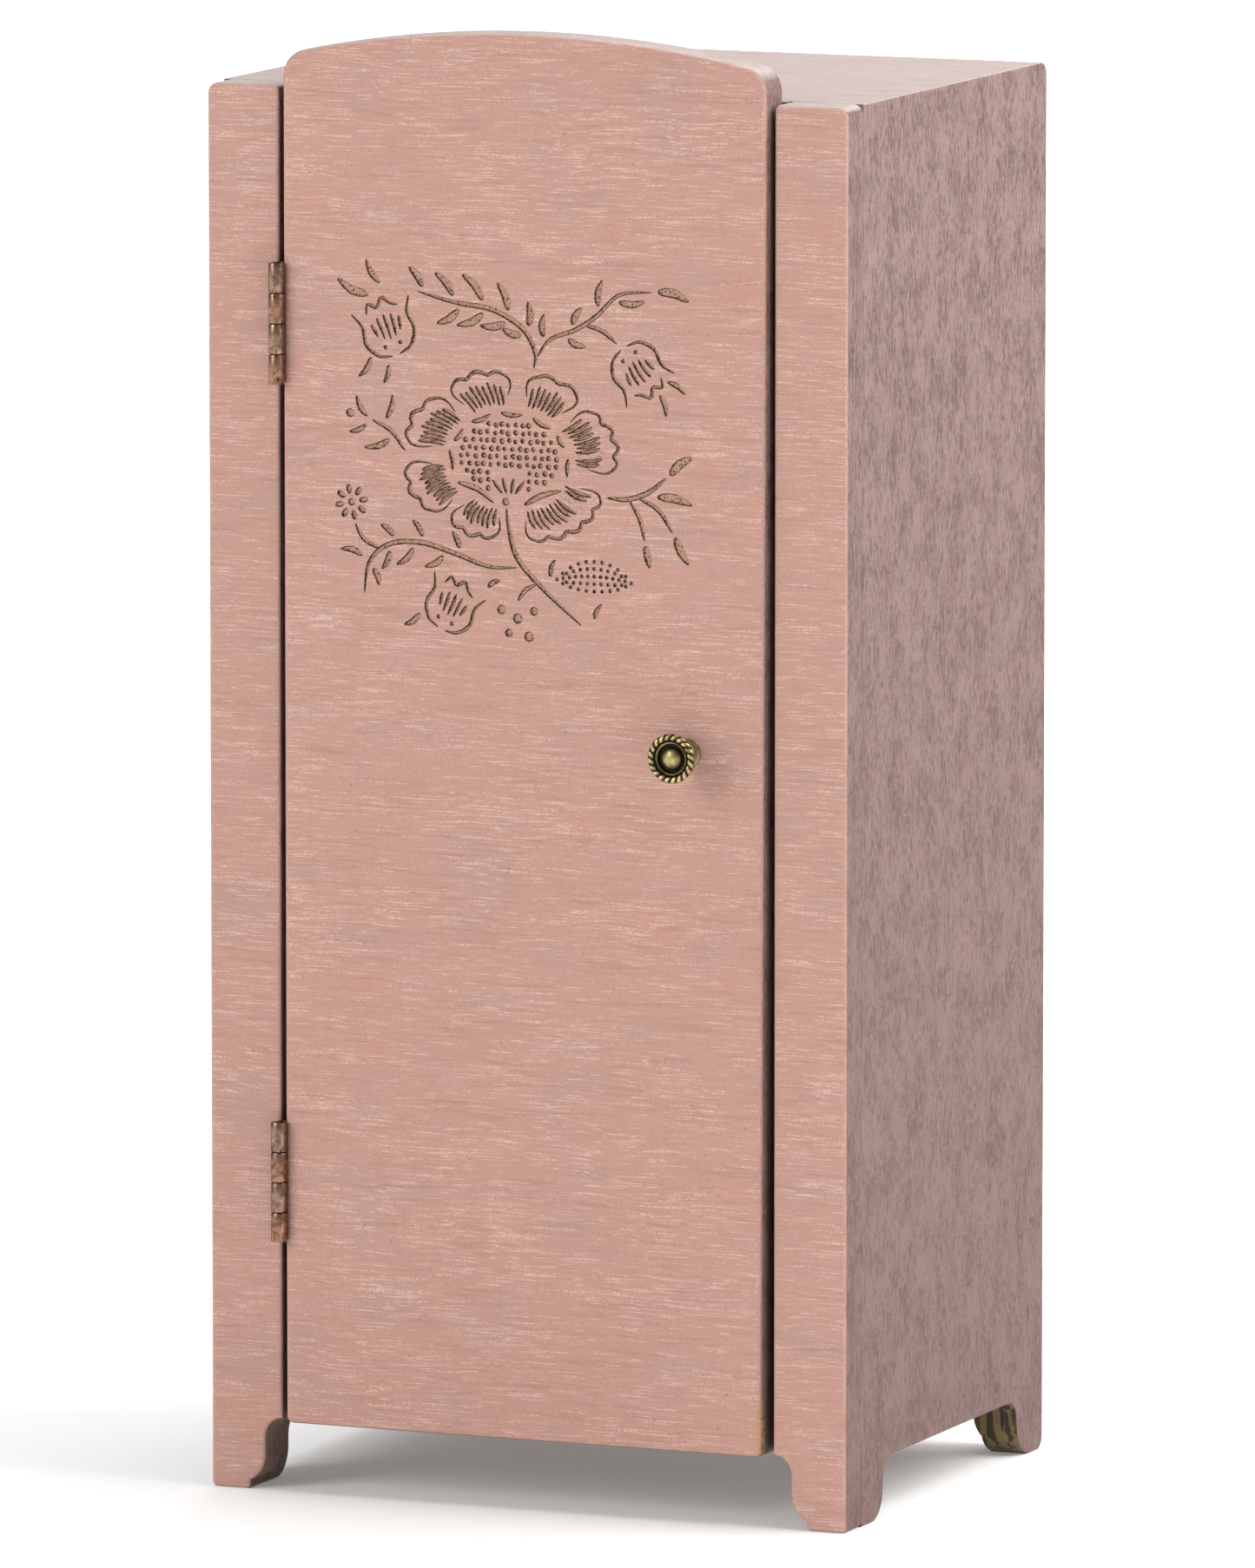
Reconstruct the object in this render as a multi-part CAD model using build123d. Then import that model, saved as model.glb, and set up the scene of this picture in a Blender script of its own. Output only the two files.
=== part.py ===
from build123d import *
import os
from math import asin, cos, sin, sqrt

# A dolls'-house wardrobe of 6 mm boards: two sides held between a pair of front stiles and a
# full-width back board, with a top, a bottom, a hanging rail, and one door on two butt hinges.
# Millimetres. +X is the wardrobe's right as seen from the front, +Y points to the back, +Z up.
# The origin is on the floor, under the middle of the whole closed wardrobe, knob included.

# carcass
carcass_width = 102.0
carcass_height = 210.0
carcass_depth = 78.5        # from the front of the stiles to the rear of the back board
side_thick = 6.0
back_thick = 6.0
top_thick = 6.0
bottom_thick = 6.0
bottom_rise = 11.2          # underside of the bottom board above the floor
stile_width = 11.6
stile_thick = 6.0
joint_ease = 0.2            # small rounding where two boards meet
face_round = 0.6            # softened edges round the front faces
corner_round = 1.6          # stile corners at the top, seen from the front
rear_round = 2.0            # back board's corners, seen from the side

# feet: an S-shaped bracket foot at each end of the stiles and of the back board
foot_height = 10.9          # top of the hollow curve
foot_hollow = 2.8           # radius of that curve
ankle_height = 5.4          # where the swell of the foot starts
foot_swell = 4.6            # radius of the swell
toe_height = 1.3
toe_lift = 0.4              # small bevel at the floor
heel_round = 0.8

# feet of the sides, seen from the side
arch_height = 8.9
front_foot_depth = 14.6
front_arch_hollow = 3.2
front_toe_swell = 4.4
rear_foot_depth = 10.6
rear_arch_hollow = 2.9
rear_toe_swell = 6.0

# door
door_thick = 6.2
door_proud = 1.5            # door face in front of the stile faces
door_rise = 10.6            # bottom edge above the floor
door_over = 9.0             # middle of the arched top above the carcass
door_arch_rise = 4.2        # rise of the arch from its ends to its middle
door_corner_round = 4.0
door_face_round = 1.0
door_back_round = 0.4
latch_gap_top = 0.6         # the latch edge is planed to a slight taper
latch_gap_bottom = 1.3
stop_clearance = 0.12       # between the door's back and the boards it shuts against

# hinges: two brass butt hinges with four knuckles each
hinge_length = 18.0
hinge_leaf_thick = 0.5
hinge_leaf_reach = 6.0      # from the barrel's axis to the rear edge of a leaf
hinge_leaf_gap = 0.1
barrel_diameter = 2.4
barrel_clearance = 0.18     # from the barrel to the door's rounded edge
knuckle_gap = 0.1
leaf_relief = 0.15          # from a leaf to the other leaf's knuckle
hinge_pin_diameter = 1.0
hinge_pin_clearance = 0.05  # radial, in the door's knuckles
hinge_pin_recess = 0.3
upper_hinge_drop = 26.0     # top of the upper hinge below the carcass top
lower_hinge_rise = 38.0     # bottom of the lower hinge above the floor
nail_diameter = 0.9
nail_head_diameter = 1.7
nail_length = 5.0
nail_spacing = 10.0
nail_inset = 2.3            # nail axis behind the front of the stile

# knob and its screw
knob_from_edge = 12.2       # knob axis to the door's latch edge, at mid height
knob_height = 114.4
knob_diameter = 7.4
knob_projection = 6.3
knob_base_diameter = 4.4
knob_base_thick = 0.6
knob_neck_diameter = 2.8
knob_rim_diameter = 1.2
knob_dish_depth = 1.0
knob_button_diameter = 3.3
screw_diameter = 1.4
screw_engagement = 2.6      # thread length inside the knob
screw_head_diameter = 3.0
screw_head_thick = 0.9
screw_clearance = 0.1       # radial, through the door

# magnetic catch at the top of the door
magnet_diameter = 4.0
magnet_thick = 2.0
strike_diameter = 4.0
strike_thick = 0.8
catch_from_middle = 28.0

# hanging rail and hidden dowels
rail_diameter = 5.0
rail_drop = 22.0            # rail axis below the carcass top
rail_socket = 3.0
rail_end_gap = 0.1
dowel_diameter = 2.0
dowel_in_face = 3.0         # depth in the face of a board
dowel_in_end = 6.0          # depth in the end of a board
dowel_margin = 12.0         # end dowels from the edge of their board

# planes and levels worked out from the sizes above
half_width = carcass_width / 2
opening_half = half_width - stile_width
inner_half = half_width - side_thick
whole_depth = carcass_depth + door_proud + knob_projection
front = door_proud + knob_projection - whole_depth / 2      # front of the stiles
rear = front + carcass_depth
side_front = front + stile_thick
side_rear = rear - back_thick
door_front = front - door_proud
door_back = door_front + door_thick
hinge_gap = 2 * hinge_leaf_thick + hinge_leaf_gap
door_left = hinge_gap - opening_half
door_right_top = opening_half - latch_gap_top
door_right_bottom = opening_half - latch_gap_bottom
door_apex = carcass_height + door_over
knob_x = (door_right_top + door_right_bottom) / 2 - knob_from_edge
bottom_level = bottom_rise + bottom_thick / 2
top_level = carcass_height - top_thick / 2
barrel_x = (door_left - opening_half) / 2
barrel_reach = barrel_diameter / 2 + barrel_clearance + door_face_round
barrel_front = sqrt(barrel_reach ** 2 - (hinge_gap / 2 + door_face_round) ** 2) - door_face_round
barrel_y = door_front - barrel_front
upper_hinge_z = carcass_height - upper_hinge_drop - hinge_length
rail_y = (side_front + side_rear) / 2
rail_z = carcass_height - rail_drop


def from_front(outline, y, thick):
    """Stands an outline of width and height up as a board whose front is at y."""
    return Pos(0, y + thick, 0) * extrude(Plane.XZ * outline, thick)


def from_side(outline, x, thick):
    """Stands an outline of depth and height up as a board whose left face is at x."""
    return Pos(x, 0, 0) * extrude(Plane.YZ * outline, thick)


def rod(x, y, z, diameter, length, axis):
    """A round bar starting at a point and running along +X, +Y or +Z."""
    turns = {"x": Rot(0, 90, 0), "y": Rot(-90, 0, 0), "z": Rot(0, 0, 0)}
    bar = Cylinder(diameter / 2, length, align=(Align.CENTER, Align.CENTER, Align.MIN))
    return Pos(x, y, z) * turns[axis] * bar


def spread(low, high, count):
    """Evenly spaced places between two margins."""
    return [low + (high - low) * i / (count - 1) for i in range(count)]


def foot_line(width):
    """The shaped inner edge of a foot, from the floor up to the board's lower edge.
    It is drawn from the foot's outer corner at 0, 0."""
    ankle = width - foot_hollow
    swell_x = ankle - foot_swell
    toe = swell_x + sqrt(foot_swell ** 2 - (ankle_height - toe_height) ** 2)
    hollow_z = foot_height - foot_hollow
    lean = foot_hollow * (1 - sqrt(0.5))
    slope_z = (ankle_height + toe_height) / 2
    slope_x = swell_x + sqrt(foot_swell ** 2 - (ankle_height - slope_z) ** 2)
    return [
        Line((toe - toe_lift, 0), (toe, toe_lift)),
        Line((toe, toe_lift), (toe, toe_height)),
        ThreePointArc((toe, toe_height), (slope_x, slope_z), (ankle, ankle_height)),
        Line((ankle, ankle_height), (ankle, hollow_z)),
        ThreePointArc((ankle, hollow_z), (ankle + lean, foot_height - lean), (width, foot_height)),
    ], toe - toe_lift


def corner_vertices(outline, x, z):
    """The outline's vertices at one corner."""
    return [v for v in outline.vertices() if abs(v.X - x) < 0.01 and abs(v.Y - z) < 0.01]


def stile_outline():
    line, toe_start = foot_line(stile_width)
    outline = make_face(line + [
        Line((stile_width, foot_height), (stile_width, carcass_height)),
        Line((stile_width, carcass_height), (0, carcass_height)),
        Line((0, carcass_height), (0, 0)),
        Line((0, 0), (toe_start, 0)),
    ])
    outline = fillet(corner_vertices(outline, 0, carcass_height), corner_round)
    outline = fillet(corner_vertices(outline, stile_width, carcass_height), corner_round / 2)
    outline = fillet(corner_vertices(outline, 0, 0), heel_round)
    return outline


def ease_board(board, front_radius):
    """Rounds the edges round a board's front face, and barely breaks those at its back."""
    front_face = board.faces().filter_by(Axis.Y).sort_by(Axis.Y)[0]
    board = fillet(front_face.edges(), front_radius)
    rear_face = board.faces().filter_by(Axis.Y).sort_by(Axis.Y)[-1]
    return fillet(rear_face.edges(), joint_ease)


def stile_dowel_places():
    return spread(foot_height + dowel_margin, carcass_height - dowel_margin, 3)


def stile_dowels(side):
    """Three dowels from the back of a stile into the front edge of its side."""
    x = side * (half_width - side_thick / 2)
    y = side_front - dowel_in_face
    length = dowel_in_face + dowel_in_end
    return Compound(children=[rod(x, y, z, dowel_diameter, length, "y") for z in stile_dowel_places()])


def back_dowels():
    """Six dowels from the rear edges of the sides into the back board."""
    y = side_rear - dowel_in_end
    length = dowel_in_face + dowel_in_end
    x_edge = half_width - side_thick / 2
    return Compound(children=[
        rod(x, y, z, dowel_diameter, length, "y")
        for x in (-x_edge, x_edge) for z in stile_dowel_places()
    ])


def board_dowels(z):
    """Four dowels from the ends of the top or the bottom board into the sides."""
    length = dowel_in_face + dowel_in_end
    places = spread(side_front + dowel_margin, side_rear - dowel_margin, 2)
    starts = (-inner_half - dowel_in_face, inner_half - dowel_in_end)
    return Compound(children=[rod(x, y, z, dowel_diameter, length, "x") for x in starts for y in places])


def front_stile(side):
    stile = from_front(Pos(-half_width, 0) * stile_outline(), front, stile_thick)
    stile = ease_board(stile, face_round)
    if side > 0:
        stile = mirror(stile, Plane.YZ)
    else:
        stile -= frame_nail_holes()
    return stile - stile_dowels(side)


def side_outline():
    """The side between the stile and the back board, with its arch between two feet."""
    front_foot = front + front_foot_depth
    rear_foot = rear - rear_foot_depth
    front_lean = front_arch_hollow * (1 - sqrt(0.5))
    rear_lean = rear_arch_hollow * (1 - sqrt(0.5))
    front_hollow = arch_height - front_arch_hollow
    rear_hollow = arch_height - rear_arch_hollow
    front_swell = front_toe_swell * sqrt(0.5)
    rear_swell = rear_toe_swell * sqrt(0.5)
    front_toe = front_foot - front_toe_swell
    rear_toe = rear_foot + rear_toe_swell
    below = -1.0
    arch = make_face([
        Line((front_toe, below), (front_toe, 0)),
        ThreePointArc(
            (front_toe, 0), (front_toe + front_swell, front_toe_swell - front_swell),
            (front_foot, front_toe_swell)),
        Line((front_foot, front_toe_swell), (front_foot, front_hollow)),
        ThreePointArc(
            (front_foot, front_hollow), (front_foot + front_lean, arch_height - front_lean),
            (front_foot + front_arch_hollow, arch_height)),
        Line((front_foot + front_arch_hollow, arch_height), (rear_foot - rear_arch_hollow, arch_height)),
        ThreePointArc(
            (rear_foot - rear_arch_hollow, arch_height), (rear_foot - rear_lean, arch_height - rear_lean),
            (rear_foot, rear_hollow)),
        *rear_ankle(rear_foot, rear_hollow),
        ThreePointArc(
            (rear_foot, rear_toe_swell), (rear_toe - rear_swell, rear_toe_swell - rear_swell),
            (rear_toe, 0)),
        Line((rear_toe, 0), (rear_toe, below)),
        Line((rear_toe, below), (front_toe, below)),
    ])
    board = Pos((side_front + side_rear) / 2, carcass_height / 2) * Rectangle(
        side_rear - side_front, carcass_height)
    return board - arch


def rear_ankle(y, hollow_z):
    """The straight part between the rear foot's two curves, where they don't already meet."""
    if abs(hollow_z - rear_toe_swell) < 0.001:
        return []
    return [Line((y, hollow_z), (y, rear_toe_swell))]


def side_panel(side):
    left = -half_width if side < 0 else inner_half
    panel = from_side(side_outline(), left, side_thick)
    outer = panel.faces().filter_by(Axis.X).sort_by(Axis.X)[0 if side < 0 else -1]
    panel = fillet(outer.edges(), joint_ease)
    panel -= stile_dowels(side)
    panel -= back_dowels()
    panel -= board_dowels(bottom_level)
    panel -= board_dowels(top_level)
    return panel - rail_room()


def back_outline():
    """The back board as seen from behind, with a foot at each end."""
    line, toe_start = foot_line(stile_width)
    half = make_face(line + [
        Line((stile_width, foot_height), (half_width, foot_height)),
        Line((half_width, foot_height), (half_width, carcass_height)),
        Line((half_width, carcass_height), (0, carcass_height)),
        Line((0, carcass_height), (0, 0)),
        Line((0, 0), (toe_start, 0)),
    ])
    half = Pos(-half_width, 0) * half
    return half + mirror(half, Plane.YZ)


def back_panel():
    panel = from_front(back_outline(), side_rear, back_thick)
    rear_edges = panel.edges().filter_by(Axis.X).group_by(Axis.Y)[-1]
    panel = fillet([rear_edges.sort_by(Axis.Z)[-1]], rear_round)
    toes = panel.edges().filter_by(Axis.X).group_by(Axis.Z)[0].group_by(Axis.Y)[-1]
    panel = fillet(toes, rear_round)
    sides = panel.edges().filter_by(Axis.Z).filter_by(lambda e: abs(abs(e.center().X) - half_width) < 0.01)
    panel = fillet(sides, joint_ease)
    return panel - back_dowels()


def cross_board(z_low, thick):
    """A board between the sides, from the back board to just behind the door. It is notched
    round the stiles, and set back from them where a thicker door needs the room."""
    stop = door_back + stop_clearance
    board_front = min(stop, side_front)
    z = z_low + thick / 2
    board = Pos(0, (board_front + side_rear) / 2, z) * Box(2 * inner_half, side_rear - board_front, thick)
    for side in (-1, 1):
        notch = Box(stile_width, stile_thick, thick)
        board -= Pos(side * (opening_half + stile_width / 2), front + stile_thick / 2, z) * notch
    if stop > side_front:
        board -= Pos(0, (side_front + stop) / 2, z) * Box(2 * opening_half, stop - side_front, thick)
    return board


def top_panel():
    panel = cross_board(carcass_height - top_thick, top_thick)
    panel -= board_dowels(top_level)
    return panel - catch_magnet()


def bottom_panel():
    panel = cross_board(bottom_rise, bottom_thick)
    return panel - board_dowels(bottom_level)


def catch_magnet():
    """A disc magnet in the front edge of the top board."""
    return rod(catch_from_middle, door_back + stop_clearance, top_level, magnet_diameter, magnet_thick, "y")


def catch_strike():
    """A steel disc in the back of the door, opposite the magnet."""
    y = door_back - strike_thick
    return rod(catch_from_middle, y, top_level, strike_diameter, strike_thick, "y")


def rail_room():
    """The blind holes for the rail, as one bar a little longer than the rail."""
    start = -inner_half - rail_socket
    return rod(start, rail_y, rail_z, rail_diameter, -2 * start, "x")


def clothes_rail():
    start = rail_end_gap - inner_half - rail_socket
    return rod(start, rail_y, rail_z, rail_diameter, -2 * start, "x")


def door_outline():
    corner_z = door_apex - door_arch_rise
    outline = make_face([
        Line((door_left, door_rise), (door_right_bottom, door_rise)),
        Line((door_right_bottom, door_rise), (door_right_top, corner_z)),
        ThreePointArc((door_right_top, corner_z), (0, door_apex), (door_left, corner_z)),
        Line((door_left, corner_z), (door_left, door_rise)),
    ])
    top_corners = corner_vertices(outline, door_right_top, corner_z)
    top_corners += corner_vertices(outline, door_left, corner_z)
    outline = fillet(top_corners, door_corner_round)
    low_corners = corner_vertices(outline, door_right_bottom, door_rise)
    low_corners += corner_vertices(outline, door_left, door_rise)
    return fillet(low_corners, door_face_round)


def door_panel():
    panel = from_front(door_outline(), door_front, door_thick)
    panel = fillet(panel.faces().sort_by(Axis.Y)[0].edges(), door_face_round)
    panel = fillet(panel.faces().sort_by(Axis.Y)[-1].edges(), door_back_round)
    panel -= catch_strike()
    panel -= door_nail_holes()
    hole = screw_diameter + 2 * screw_clearance
    panel -= rod(knob_x, door_front, knob_height, hole, door_thick, "y")
    return panel - screw_head(knob_x, knob_height)


def knuckles(owner):
    """The spans of one leaf's knuckles from the hinge's bottom end. The frame leaf holds the
    first and third from the top, the door leaf the other two."""
    length = (hinge_length - 3 * knuckle_gap) / 4
    first = {"door": 0, "frame": 1}[owner]
    return [(i * (length + knuckle_gap), length) for i in (first, first + 2)]


def hinge_leaf(owner, z):
    """One leaf: a plate against the wood, with two knuckles joined to it by necks."""
    side = {"door": 1, "frame": -1}[owner]
    near = side * hinge_leaf_gap / 2
    x = near + side * hinge_leaf_thick / 2
    barrel_radius = barrel_diameter / 2
    plate_start = barrel_radius + leaf_relief
    plate_depth = hinge_leaf_reach - plate_start
    leaf = Pos(x, plate_start + plate_depth / 2, hinge_length / 2) * Box(
        hinge_leaf_thick, plate_depth, hinge_length)
    for start, length in knuckles(owner):
        middle = start + length / 2
        neck = Pos(x, plate_start / 2, middle) * Box(hinge_leaf_thick, plate_start, length)
        leaf += neck + rod(0, 0, start, barrel_diameter, length, "z")
    bore = hinge_pin_diameter
    if owner == "door":
        bore += 2 * hinge_pin_clearance
    leaf -= rod(0, 0, 0, bore, hinge_length, "z")
    leaf = Pos(barrel_x, barrel_y, z) * leaf
    return leaf - hinge_nails(owner, z)


def hinge_pin(z):
    """The pin stops short of both ends of the barrel."""
    length = hinge_length - 2 * hinge_pin_recess
    return rod(barrel_x, barrel_y, z + hinge_pin_recess, hinge_pin_diameter, length, "z")


def hinge_nails(owner, z):
    """Two nails through a leaf into the wood behind it, heads flush in countersinks."""
    side = {"door": 1, "frame": -1}[owner]
    head_x = barrel_x + side * hinge_leaf_gap / 2
    y = front + nail_inset
    middle = z + hinge_length / 2
    nails = []
    for nail_z in (middle - nail_spacing / 2, middle + nail_spacing / 2):
        shank_length = nail_length - hinge_leaf_thick
        shank = Cylinder(nail_diameter / 2, shank_length, align=(Align.CENTER, Align.CENTER, Align.MIN))
        head = Cone(nail_head_diameter / 2, nail_diameter / 2, hinge_leaf_thick,
                    align=(Align.CENTER, Align.CENTER, Align.MIN))
        nail = head + Pos(0, 0, hinge_leaf_thick) * shank
        nails.append(Pos(head_x, y, nail_z) * Rot(0, 90 * side, 0) * nail)
    return Compound(children=nails)


def frame_nail_holes():
    return hinge_nails("frame", upper_hinge_z) + hinge_nails("frame", lower_hinge_rise)


def door_nail_holes():
    return hinge_nails("door", upper_hinge_z) + hinge_nails("door", lower_hinge_rise)


def screw_head(x, z):
    """A low round head let into the back of the door."""
    return rod(x, door_back - screw_head_thick, z, screw_head_diameter, screw_head_thick, "y")


def knob_screw():
    start = door_front - screw_engagement
    length = door_back - screw_head_thick - start
    shank = rod(knob_x, start, knob_height, screw_diameter, length, "y")
    slot = Pos(knob_x, door_back, knob_height) * Box(screw_head_diameter, screw_head_thick / 2, 0.4)
    return shank + screw_head(knob_x, knob_height) - slot


def dome(radius, rise, z):
    """Half of a domed end's outline, from its edge at height z in to the axis."""
    bend = (radius ** 2 + rise ** 2) / (2 * rise)
    half_turn = asin(radius / bend) / 2
    middle = (bend * sin(half_turn), z + rise - bend * (1 - cos(half_turn)))
    return ThreePointArc((radius, z), middle, (0, z + rise))


def knob():
    """A turned brass knob: base, waisted neck, and a head with a beaded rim round a dished
    face and a domed button."""
    rim = knob_rim_diameter / 2
    base_radius = knob_base_diameter / 2
    neck_radius = knob_neck_diameter / 2
    button_radius = knob_button_diameter / 2
    rim_x = knob_diameter / 2 - rim
    rim_z = knob_projection - rim
    dish_z = knob_projection - knob_dish_depth
    shoulder_x = rim_x - rim
    shoulder_z = rim_z - 2 * rim
    waist_z = (knob_base_thick + shoulder_z) / 2
    slant = rim * sqrt(0.5)
    profile = make_face([
        Line((0, 0), (base_radius, 0)),
        Line((base_radius, 0), (base_radius, knob_base_thick)),
        ThreePointArc((base_radius, knob_base_thick), (neck_radius, waist_z), (shoulder_x, shoulder_z)),
        Line((shoulder_x, shoulder_z), (rim_x, rim_z - rim)),
        ThreePointArc((rim_x, rim_z - rim), (rim_x + rim, rim_z), (rim_x, rim_z + rim)),
        ThreePointArc((rim_x, rim_z + rim), (rim_x - slant, rim_z + slant), (rim_x - rim, rim_z)),
        Line((rim_x - rim, rim_z), (rim_x - rim, dish_z)),
        Line((rim_x - rim, dish_z), (button_radius, dish_z)),
        dome(button_radius, knob_dish_depth, dish_z),
        Line((0, dish_z + knob_dish_depth), (0, 0)),
    ])
    body = revolve(Plane.XZ * profile, Axis.Z)
    body = Pos(knob_x, door_front, knob_height) * Rot(90, 0, 0) * body
    return body - knob_screw()


nodes = {
    "side_panel_left": side_panel(-1),
    "side_panel_right": side_panel(1),
    "back_panel": back_panel(),
    "top_panel": top_panel(),
    "bottom_panel": bottom_panel(),
    "front_stile_left": front_stile(-1),
    "front_stile_right": front_stile(1),
    "stile_dowels_left": stile_dowels(-1),
    "stile_dowels_right": stile_dowels(1),
    "back_panel_dowels": back_dowels(),
    "top_panel_dowels": board_dowels(top_level),
    "bottom_panel_dowels": board_dowels(bottom_level),
    "clothes_rail": clothes_rail(),
    "catch_magnet": catch_magnet(),
    "catch_strike": catch_strike(),
    "door_panel": door_panel(),
    "knob": knob(),
    "knob_screw": knob_screw(),
}
for place, hinge_z in (("upper", upper_hinge_z), ("lower", lower_hinge_rise)):
    nodes[f"{place}_hinge_pin"] = hinge_pin(hinge_z)
    for owner in ("frame", "door"):
        nodes[f"{place}_hinge_{owner}_leaf"] = hinge_leaf(owner, hinge_z)
        nodes[f"{place}_hinge_{owner}_nails"] = hinge_nails(owner, hinge_z)

os.makedirs("parts", exist_ok=True)
for name, solid in nodes.items():
    export_step(solid, f"parts/{name}.step")
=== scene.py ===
import math
import random

import bmesh
import bpy
from mathutils import Matrix, Vector


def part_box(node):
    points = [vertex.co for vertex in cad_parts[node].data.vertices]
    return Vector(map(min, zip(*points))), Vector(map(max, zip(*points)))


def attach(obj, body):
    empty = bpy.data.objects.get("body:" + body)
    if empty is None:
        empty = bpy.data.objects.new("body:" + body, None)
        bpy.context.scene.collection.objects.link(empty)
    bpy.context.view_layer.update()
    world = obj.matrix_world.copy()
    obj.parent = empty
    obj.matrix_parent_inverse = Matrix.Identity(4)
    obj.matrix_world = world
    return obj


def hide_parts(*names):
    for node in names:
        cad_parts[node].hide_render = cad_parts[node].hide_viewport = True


# A dolls'-house wardrobe in brushed pink paint: shaped boards, an engraved door,
# rolled hinges and a roped knob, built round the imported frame. Lengths are in metres,
# and mm turns a maker's millimetres into them.

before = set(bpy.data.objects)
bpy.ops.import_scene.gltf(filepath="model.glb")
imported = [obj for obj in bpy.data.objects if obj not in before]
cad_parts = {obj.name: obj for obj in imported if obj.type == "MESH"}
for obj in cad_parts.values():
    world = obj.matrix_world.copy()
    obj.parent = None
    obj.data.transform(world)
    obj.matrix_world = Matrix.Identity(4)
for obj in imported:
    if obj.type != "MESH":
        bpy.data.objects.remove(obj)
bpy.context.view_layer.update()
mm = 0.001
print("frame loaded,", len(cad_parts), "nodes")


# Small helpers for laying out shader nodes

def addNode(tree, kind, **settings):
    node = tree.nodes.new(kind)
    for name, value in settings.items():
        setattr(node, name, value)
    return node


def feed(tree, target, value):
    # a socket is linked, anything else is set on the input itself
    if isinstance(value, bpy.types.NodeSocket):
        tree.links.new(value, target)
    elif value is not None:
        target.default_value = value


def calc(tree, operation, a, b=None, clamp=False):
    node = addNode(tree, "ShaderNodeMath", operation=operation, use_clamp=clamp)
    feed(tree, node.inputs[0], a)
    feed(tree, node.inputs[1], b)
    return node.outputs[0]


def ease(tree, value, low, high):
    # 0 below low, 1 above high, smooth between them
    node = addNode(tree, "ShaderNodeMapRange", interpolation_type="SMOOTHSTEP")
    feed(tree, node.inputs["Value"], value)
    feed(tree, node.inputs["From Min"], low)
    feed(tree, node.inputs["From Max"], high)
    return node.outputs["Result"]


def place(tree, vector, scale=(1, 1, 1), shift=(0, 0, 0), turn=(0, 0, 0)):
    node = addNode(tree, "ShaderNodeMapping")
    feed(tree, node.inputs["Vector"], vector)
    node.inputs["Scale"].default_value = scale
    node.inputs["Location"].default_value = shift
    node.inputs["Rotation"].default_value = [math.radians(a) for a in turn]
    return node.outputs["Vector"]


def noise(tree, vector, scale=1.0, detail=3.0, roughness=0.5, distortion=0.0):
    node = addNode(tree, "ShaderNodeTexNoise")
    feed(tree, node.inputs["Vector"], vector)
    feed(tree, node.inputs["Scale"], scale)
    node.inputs["Detail"].default_value = detail
    node.inputs["Roughness"].default_value = roughness
    node.inputs["Distortion"].default_value = distortion
    return node.outputs["Fac"]


def cells(tree, vector, scale=1.0, randomness=1.0):
    node = addNode(tree, "ShaderNodeTexVoronoi")
    feed(tree, node.inputs["Vector"], vector)
    feed(tree, node.inputs["Scale"], scale)
    node.inputs["Randomness"].default_value = randomness
    return node.outputs["Distance"]


def blendColour(tree, amount, a, b, mode="MIX"):
    node = addNode(tree, "ShaderNodeMix", data_type="RGBA", blend_type=mode)
    feed(tree, node.inputs[0], amount)
    feed(tree, node.inputs[6], a)
    feed(tree, node.inputs[7], b)
    return node.outputs[2]


def startGroup(name, inputs, outputs):
    tree = bpy.data.node_groups.new(name, "ShaderNodeTree")
    for label, kind, value in inputs:
        made = tree.interface.new_socket(name=label, in_out="INPUT", socket_type=kind)
        if value is not None:
            made.default_value = value
    for label in outputs:
        tree.interface.new_socket(name=label, in_out="OUTPUT", socket_type="NodeSocketFloat")
    source = addNode(tree, "NodeGroupInput").outputs
    sink = addNode(tree, "NodeGroupOutput").inputs
    return tree, source, sink


def useGroup(tree, group, vector, **values):
    node = addNode(tree, "ShaderNodeGroup", node_tree=group)
    feed(tree, node.inputs["Vector"], vector)
    for name, value in values.items():
        feed(tree, node.inputs[name], value)
    return node.outputs


def startMaterial(name):
    material = bpy.data.materials.new(name)
    material.use_nodes = True
    tree = material.node_tree
    shader = tree.nodes["Principled BSDF"]
    spot = addNode(tree, "ShaderNodeTexCoord").outputs["Object"]
    millimetres = place(tree, spot, scale=(1 / mm, 1 / mm, 1 / mm))
    return material, tree, shader, millimetres


def addBump(tree, shader, height, strength, distance):
    node = addNode(tree, "ShaderNodeBump")
    node.inputs["Strength"].default_value = strength
    node.inputs["Distance"].default_value = distance
    feed(tree, node.inputs["Height"], height)
    tree.links.new(node.outputs["Normal"], shader.inputs["Normal"])


# Effects shared by several finishes. Every group takes a vector in millimetres.

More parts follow.
